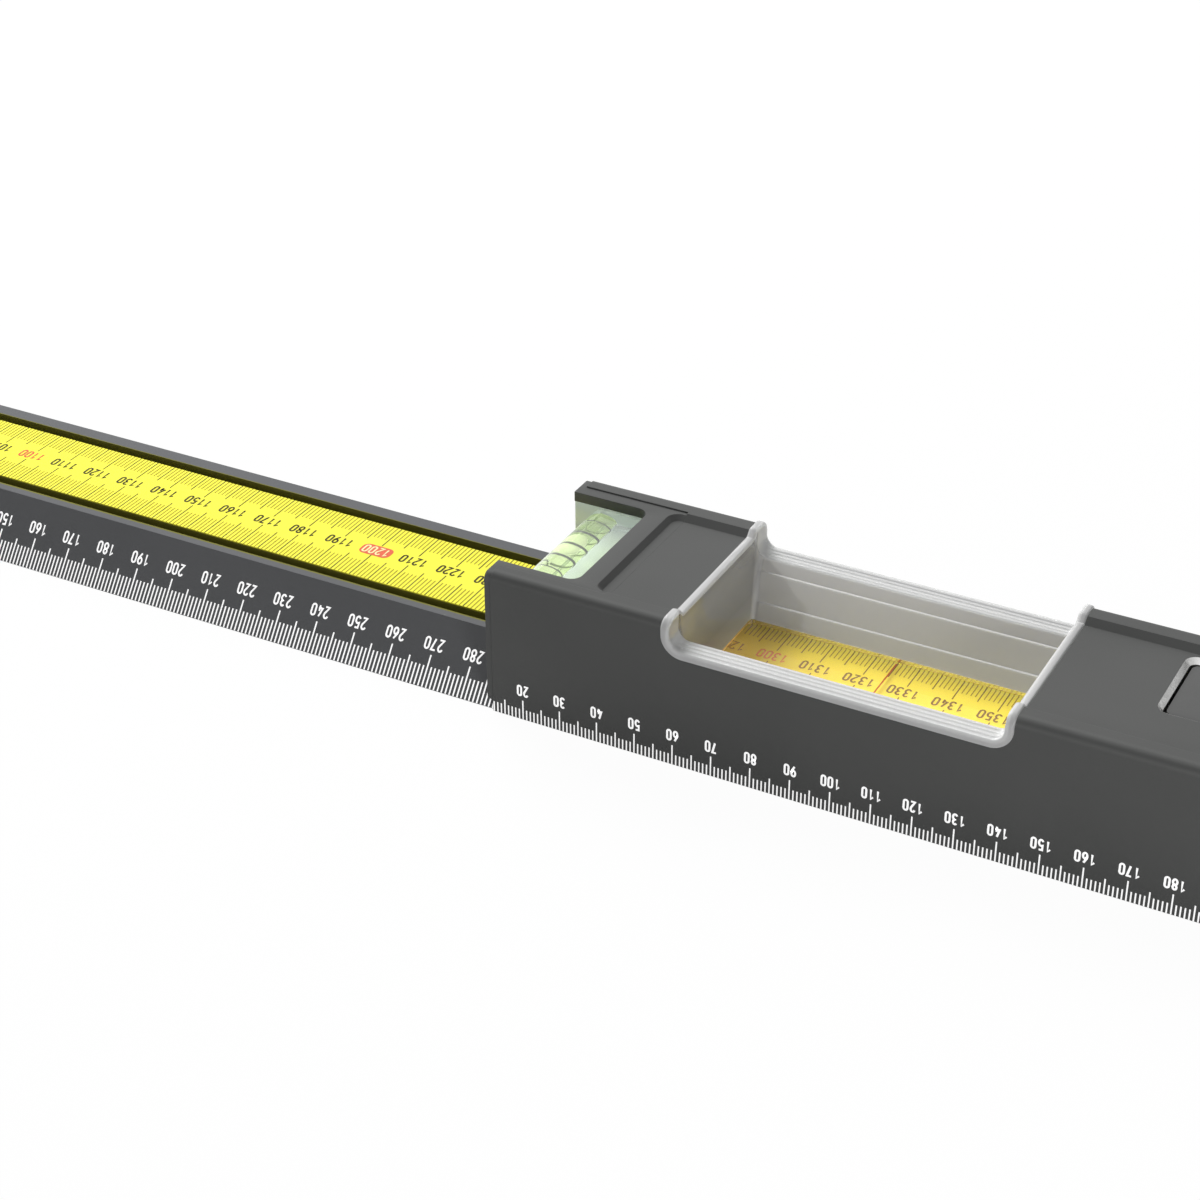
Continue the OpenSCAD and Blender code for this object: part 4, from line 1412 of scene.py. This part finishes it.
    def mould(self) -> Object:
        """Make sills, end walls and sloping walls as one skin of even thickness.

        Returns:
            The closed moulding.
        """
        rows, across = self.steps(), self.across()
        draft = Draft()
        edges: dict[tuple[int, int], list[Vector]] = {}
        for end, side in ((0, 0), (0, 1), (1, 0), (1, 1)):
            grid = []
            for k, (x, z, (into, up), share) in enumerate([rows[0]] + rows):
                row = []
                for y, h in across + [(self.inner_edge(x), -self.fall)]:
                    lift = h * share if h > 0 else h
                    row.append(self.spot(x + into * lift, y, z + up * lift, end, side) if k
                               else self.spot(x, y, self.crest(y) + self.lap, end, side))
                grid.append(row)
            edges[(end, side)] = [row[-1] for row in grid[1:]]
            self.sheet(draft, grid)
            edges[(end, side + 2)] = grid[-1]
        for side in (0, 1):
            self.sheet(draft, [edges[(0, side + 2)], edges[(1, side + 2)]])
        self.walls(draft, edges)
        edge, foot, middle = self.posts()
        places = [edge, foot, middle, self.width - foot, self.width - edge]
        for end in (0, 1):
            base = [self.spot(0.0, y, self.sill + self.fillet, end, 0) for y in places[1:4]]
            top = [self.spot(0.0, y, self.crest(y) + self.lap, end, 0) for y in places]
            self.sheet(draft, [[edges[(end, 0)][0], *base, edges[(end, 1)][0]], top])
        return self.thickened(draft.piece("window_mould", self.shop.frosted))

    def spot(self, x: float, y: float, z: float, end: int, side: int) -> Vector:
        """Point at a distance x from an end wall and y from a side face.

        Args:
            x: Distance from the end wall.
            y: Distance from the side face.
            z: Height over the base.
            end: 0 at the left end wall, 1 at the right one.
            side: 0 at the scale face, 1 at the back.

        Returns:
            The point in metres.
        """
        start = self.left + self.band
        along = start + x if end == 0 else self.left + self.right - start - x
        return self.bench.at(along, y if side == 0 else self.width - y, z)

    @staticmethod
    def sheet(draft: Draft, grid: Sequence[Sequence[Vector]]) -> None:
        """Add a grid of points with faces between them.

        Args:
            draft: Mesh that is being drawn.
            grid: Rows of points.
        """
        count = len(grid[0])
        faces = [(r * count + i, r * count + i + 1, (r + 1) * count + i + 1, (r + 1) * count + i)
                 for r in range(len(grid) - 1) for i in range(count - 1)]
        draft.add([p for row in grid for p in row], faces)

    def walls(self, draft: Draft, edges: dict[tuple[int, int], list[Vector]]) -> None:
        """Add the four sloping walls with the two ledges of the long ones.

        Args:
            draft: Mesh that is being drawn.
            edges: Inner edges of the sills, from the end wall, by end and side.
        """
        edge, foot, middle = self.posts()
        floor, gap = self.floor[1], self.ledge_half
        levels = [(self.sill - 0.6, 0), (self.ledges[0] + gap, 0), (self.ledges[0] - gap, 1),
                  (self.ledges[1] + gap, 1), (self.ledges[1] - gap, 2), (floor + 0.02, 2)]
        top: list[Vector] = []
        columns: list[tuple[float, float, int, int]] = []
        for end, side in ((0, 0), (1, 0), (1, 1), (0, 1)):
            corner = [(place, row[0]) for place, row in zip(edges[(end, side)], self.steps())]
            turning = (end, side) in ((1, 0), (0, 1))
            for place, x in reversed(corner) if turning else corner:
                top.append(place)
                columns.append((x, self.inner_edge(x), end, side))
            for y, which in ((foot, side), (middle, side), (foot, 1 - side)) if turning else ():
                top.append(self.spot(0.0, y, self.sill + self.fillet, end, which))
                columns.append((0.0, y, end, which))
        rings = [top]
        for z, ledges in levels:
            share = (self.sill - z) / (self.sill - floor)
            ring = []
            for x, y, end, side in columns:
                part = 1.0 if y < edge + 0.01 else (middle - y) / (middle - self.sill_width - self.plan)
                inset = part * self.draft[1] * share + min(1.0, x / self.plan) * ledges * self.ledge
                ring.append(self.spot(x + self.draft[0] * share, y + inset, z, end, side))
            rings.append(ring)
        draft.loft(rings)

    def thickened(self, thing: Object) -> Object:
        """Join the skin's seams, give it its thickness and its two finishes.

        Args:
            thing: The open skin.

        Returns:
            The closed moulding.
        """
        shape = bmesh.new()
        shape.from_mesh(thing.data)
        bmesh.ops.remove_doubles(shape, verts=shape.verts, dist=SEAM)
        bmesh.ops.dissolve_degenerate(shape, dist=WELD, edges=shape.edges)
        bmesh.ops.recalc_face_normals(shape, faces=shape.faces)
        centre = self.bench.at((self.left + self.right) / 2, self.width / 2, self.hollow)
        shape.faces.ensure_lookup_table()
        inward = sum((1 if (centre - f.calc_center_median()).dot(f.normal) > 0 else -1) * f.calc_area()
                     for f in shape.faces if f.calc_center_median().z < centre.z)
        if inward < 0:
            bmesh.ops.reverse_faces(shape, faces=shape.faces)
        shape.to_mesh(thing.data)
        shape.free()
        thing.data.shade_smooth()
        wall = thing.modifiers.new("skin", "SOLIDIFY")
        wall.thickness = self.skin * MM
        wall.offset = -1.0
        wall.use_even_offset = True
        shaded(settled(thing), 42)
        thing.data.materials.append(self.shop.wall_clear)
        inner = self.bench.at(self.left + self.band, self.sill_width, self.sill)
        for face in thing.data.polygons:
            face.material_index = int(abs(face.center.y) < -inner.y)
        return thing

    def pane(self) -> Object:
        """Make the clear floor of the tray.

        Returns:
            The closed plate.
        """
        low, high = self.floor
        rings = []
        for z, grow in ((low, 0.3), (low + 0.25, 0.6), (high - 0.12, 0.6), (high, 0.45)):
            x, y = self.band + self.draft[0] - grow, self.sill_width + self.draft[1] + 0.7 - grow
            box = (self.left + x, y, self.right - x, self.width - y)
            rings.append([self.bench.at(a, u, z) for a, u in rounded(box, self.plan, self.plan, 6)])
        draft = Draft()
        draft.tube(rings)
        return face_out(draft.piece("window_pane", self.shop.clear))

    def build(self) -> None:
        """Make the tray in three pieces and dress the reading line."""
        for thing in (self.flange(), self.mould(), self.pane()):
            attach(thing, "body")
            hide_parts("window_tray")
        self.shop.dress("reading_line", self.shop.line_red)


@dataclass
class MainVial(Assembly):
    """Vial along the level in its cradle."""

    def build(self) -> None:
        """Dress cradle, block, liquid and rings."""
        self.shop.dress("main_vial_cradle", self.shop.white)
        Vial("main_vial", self.bench.at(530.0, 26.4, 30.1), X_AXIS, half=16.9, bore=3.9, barrel=4.4).build(
            "main_vial", (-17.5, 17.5), self.shop)


@dataclass
class Brake(Assembly):
    """Brake lever with its bearing, pin, spring and pad."""

    plate: float = 3.1
    gap: float = 0.3
    slope: Point2 = (2.0, 5.5)
    box: tuple[Vector, Vector] = field(default_factory=lambda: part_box("brake_lever"))

    def gapped(self, point: Vector) -> float:
        """Shift of the plate's left edge, for a wider gap beside it.

        Args:
            point: A corner of the lever.

        Returns:
            The shift along X, which ends over the slope.
        """
        low, high = self.box
        if point.z <= high[2] - self.plate * MM:
            return 0.0
        share = (low[0] + self.slope[1] * MM - point.x) / ((self.slope[1] - self.slope[0]) * MM)
        return self.gap * MM * max(0.0, min(1.0, share))

    def build(self) -> None:
        """Round the lever's edges and dress the mechanism."""
        eased_copy("brake_lever", 0.3, self.shop.grey, shift=self.gapped)
        for node, material in (("brake_bearing", self.shop.black), ("brake_pin", self.shop.steel),
                               ("brake_spring", self.shop.steel), ("brake_pad", self.shop.rubber)):
            self.shop.dress(node, material)


@dataclass
class RightEnd(Assembly):
    """End cap with its screws."""

    def build(self) -> None:
        """Round the cap's edges and dress the screws."""
        eased_copy("end_cap", 0.3, self.shop.black)
        self.shop.dress("end_cap_screws", self.shop.steel)


@dataclass
class SlidingRail(Assembly):
    """Inner rail with its bevelled scale, the tape in its bed and both end plugs."""

    lip: float = 0.7
    top_y: float = 12.0
    height: float = 14.6
    scale_start: float = -310.35
    pitch: float = 1.1157
    tape_mark: int = 1200
    tape_zero: float = -40.46
    box_middle: float = 30.85
    box_half: Point2 = (4.5, 2.4)
    box_radius: float = 1.7

    def bevel_scale(self) -> None:
        """Print the scale of the bevelled face."""
        up = Vector((0.0, self.top_y - self.lip, self.height)).normalized()
        face = PrintPlane(self.bench.at(0, self.lip, 0), X_AXIS, up)
        first = 3
        TickRow("rail_scale_lines", face, first, last=935, start=self.scale_start + first * self.pitch,
                pitch=self.pitch, base=0.1, lengths=(5.25, 6.7, 8.1), width=0.4).build(
                    self.shop.white_ink, "rail", "rail_metal")
        NumberRow("rail_scale_numbers", face, range(10, 931, 10), self.scale_start, self.pitch, base=12.6, height=3.3,
                  width=1.6, advance=1.9, stroke=0.48).build(self.shop.white_ink, "rail", "rail_metal")

    def tape_scale(self) -> None:
        """Print the scale of the measuring tape."""
        face = PrintPlane(self.bench.at(0, 0, self.height), X_AXIS, Y_AXIS)
        first, last = 962, 1893
        start, stop = (self.tape_zero + (mark - self.tape_mark) * self.pitch for mark in (first, last))
        ends = {"near": (17.95, False, (7.1, 8.9, 10.4), first, start),
                "far": (43.25, True, (6.55, 8.05, 9.8), -last, stop)}
        for side, (edge, flip, lengths, phase, at) in ends.items():
            for choice, ink, width in ((TickChoice.FINE, self.shop.brown_ink, 0.26),
                                       (TickChoice.STRONG, self.shop.olive_ink, 0.28)):
                TickRow(f"tape_{side}_{choice.name.lower()}_lines", face, phase, phase + last - first, at, self.pitch,
                        edge, lengths, width, choice, flip).build(ink, "rail", "tape")
        zero = self.tape_zero - self.tape_mark * self.pitch
        plain = [v for v in range(970, 1891, 10) if v % 100]
        hundreds = [v for v in range(1000, 1801, 100) if v != self.tape_mark]
        lifted = PrintPlane(face.origin, face.along, face.up, 0.05)
        for name, values, ink in (("tape_numbers", plain, self.shop.olive_ink),
                                  ("tape_hundreds", hundreds, self.shop.red_ink),
                                  ("tape_boxed_number", [self.tape_mark], self.shop.pale_ink)):
            NumberRow(name, lifted, values, zero, self.pitch, base=32.7, height=3.7, width=1.66, advance=1.98,
                      stroke=0.5).build(ink, "rail", "tape")
        self.number_box(face)

    def number_box(self, face: PrintPlane) -> None:
        """Print the red box under the boxed number.

        Args:
            face: Print plane of the tape.
        """
        (half_l, half_w), middle = self.box_half, self.box_middle
        outline = rounded((self.tape_zero - half_l, middle - half_w, self.tape_zero + half_l, middle + half_w),
                          self.box_radius, self.box_radius, 5)
        draft = Draft()
        draft.add([face.place(a, u) for a, u in outline], [tuple(range(len(outline)))])
        box = draft.piece("tape_number_box", self.shop.red_ink)
        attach(box, "rail")

    def build(self) -> None:
        """Dress the rail and print its scales."""
        self.shop.dress("rail_profile", self.shop.rail_coat)
        self.shop.dress("measuring_tape", self.shop.tape)
        for node in ("rail_tip", "rail_guide"):
            eased_copy(node, 0.25, self.shop.black)
        self.bevel_scale()
        self.tape_scale()


# ---------------------------------------------------------------- studio

@dataclass(frozen=True)
class Studio:
    """Camera of the photograph, white floor, plain world and soft lamps."""

    place: Triple = (-0.096495, -0.460825, 0.340472)
    azimuth: float = 28.1305
    elevation: float = 31.4063
    roll: float = -0.1678
    focal: float = 75.57
    around: float = 0.18
    floor_share: float = 0.97

    def camera(self) -> None:
        """Set up the camera."""
        a, e, r = (math.radians(v) for v in (self.azimuth, self.elevation, self.roll))
        back = Vector((math.sin(a) * math.cos(e), -math.cos(a) * math.cos(e), math.sin(e)))
        right = Vector((math.cos(a), math.sin(a), 0.0))
        up = back.cross(right)
        turned = math.cos(r) * right + math.sin(r) * up
        raised = -math.sin(r) * right + math.cos(r) * up
        lens = bpy.data.cameras.new("photo_camera")
        lens.sensor_width = 36.0
        lens.lens = self.focal
        lens.clip_start, lens.clip_end = 0.01, 50.0
        camera = shown("photo_camera", lens)
        turn = Matrix((turned, raised, back)).transposed().to_4x4()
        camera.matrix_world = Matrix.Translation(Vector(self.place)) @ turn
        bpy.context.scene.camera = camera

    @staticmethod
    def seen(board: Board) -> NodeSocket:
        """Tell the rays apart that look at the studio's white.

        Args:
            board: Board of the floor or of the world.

        Returns:
            1 on camera, glossy and transmission rays, otherwise 0.
        """
        path = board.node("LightPath").outputs
        shiny = board.math("MAXIMUM", path["Is Glossy Ray"], path["Is Transmission Ray"])
        return board.math("MAXIMUM", path["Is Camera Ray"], shiny)

    def floor(self) -> None:
        """Lay the white floor."""
        b = Board(bpy.data.materials.new("floor_white"))
        path = b.node("LightPath").outputs
        pale = b.mix(b.spread(b.grain(40.0), 0.0, 1.0), (0.86, 0.86, 0.86), (0.9, 0.9, 0.9))
        colour = b.mix(path["Is Diffuse Ray"], pale, (0.65, 0.65, 0.65))
        matt = b.node("BsdfDiffuse", {"Color": colour})
        glow = b.node("Emission", {"Color": (1.0, 1.0, 1.0, 1.0), "Strength": 1.0})
        share = b.math("MULTIPLY", self.seen(b), self.floor_share)
        material = b.finish(b.node("MixShader", {0: share, 1: matt.outputs[0], 2: glow.outputs[0]}))
        draft = Draft()
        draft.add([Vector((x, y, -0.0002)) for x, y in ((-6, -6), (6, -6), (6, 6), (-6, 6))], [(0, 1, 2, 3)])
        draft.piece("floor", material)

    def world(self) -> None:
        """Set the even light from all round and the white that camera and gloss see."""
        b = Board(bpy.data.worlds.new("studio_white"))
        level = b.spread(self.seen(b), self.around, 1.0, 0.0, 1.0)
        shine = b.node("Background", {"Color": (1.0, 1.0, 1.0, 1.0), "Strength": level})
        b.node("OutputWorld", {"Surface": shine.outputs[0]})
        bpy.context.scene.world = b.owner

    @staticmethod
    def lamp(name: str, place: Triple, aim: Triple, size: float, power: float) -> None:
        """Hang a soft square lamp.

        Args:
            name: Name of the lamp.
            place: Where it hangs.
            aim: What it points at.
            size: Its side in metres.
            power: Its power in watts.
        """
        light = bpy.data.lights.new(name, "AREA")
        light.size, light.energy = size, power
        lamp = shown(name, light)
        lamp.location = place
        lamp.rotation_euler = (Vector(aim) - Vector(place)).to_track_quat("-Z", "Y").to_euler()
        lamp.visible_glossy = False

    def build(self) -> None:
        """Set up the whole studio."""
        self.camera()
        self.floor()
        self.world()
        self.lamp("soft_back_left", (-1.4, 0.75, 1.1), (-0.1, 0.0, 0.0), 1.1, 44.0)
        self.lamp("soft_front", (0.0, -0.32, 0.09), (-0.15, 0.0, 0.03), 0.12, 0.38)
        bpy.context.scene.view_settings.view_transform = "Standard"
        log.info("studio done")


def main() -> None:
    """Build the studio and every sub-assembly."""
    logging.basicConfig(level=logging.INFO, format="%(message)s")
    Studio().build()
    bench, shop = Bench(), Workshop.open()
    for part in (OuterProfile, VialEnd, ReadingWindow, MainVial, Brake, RightEnd, SlidingRail):
        part(bench, shop).build()
        log.info("%s done", part.__name__)


if __name__ == "__main__":
    main()
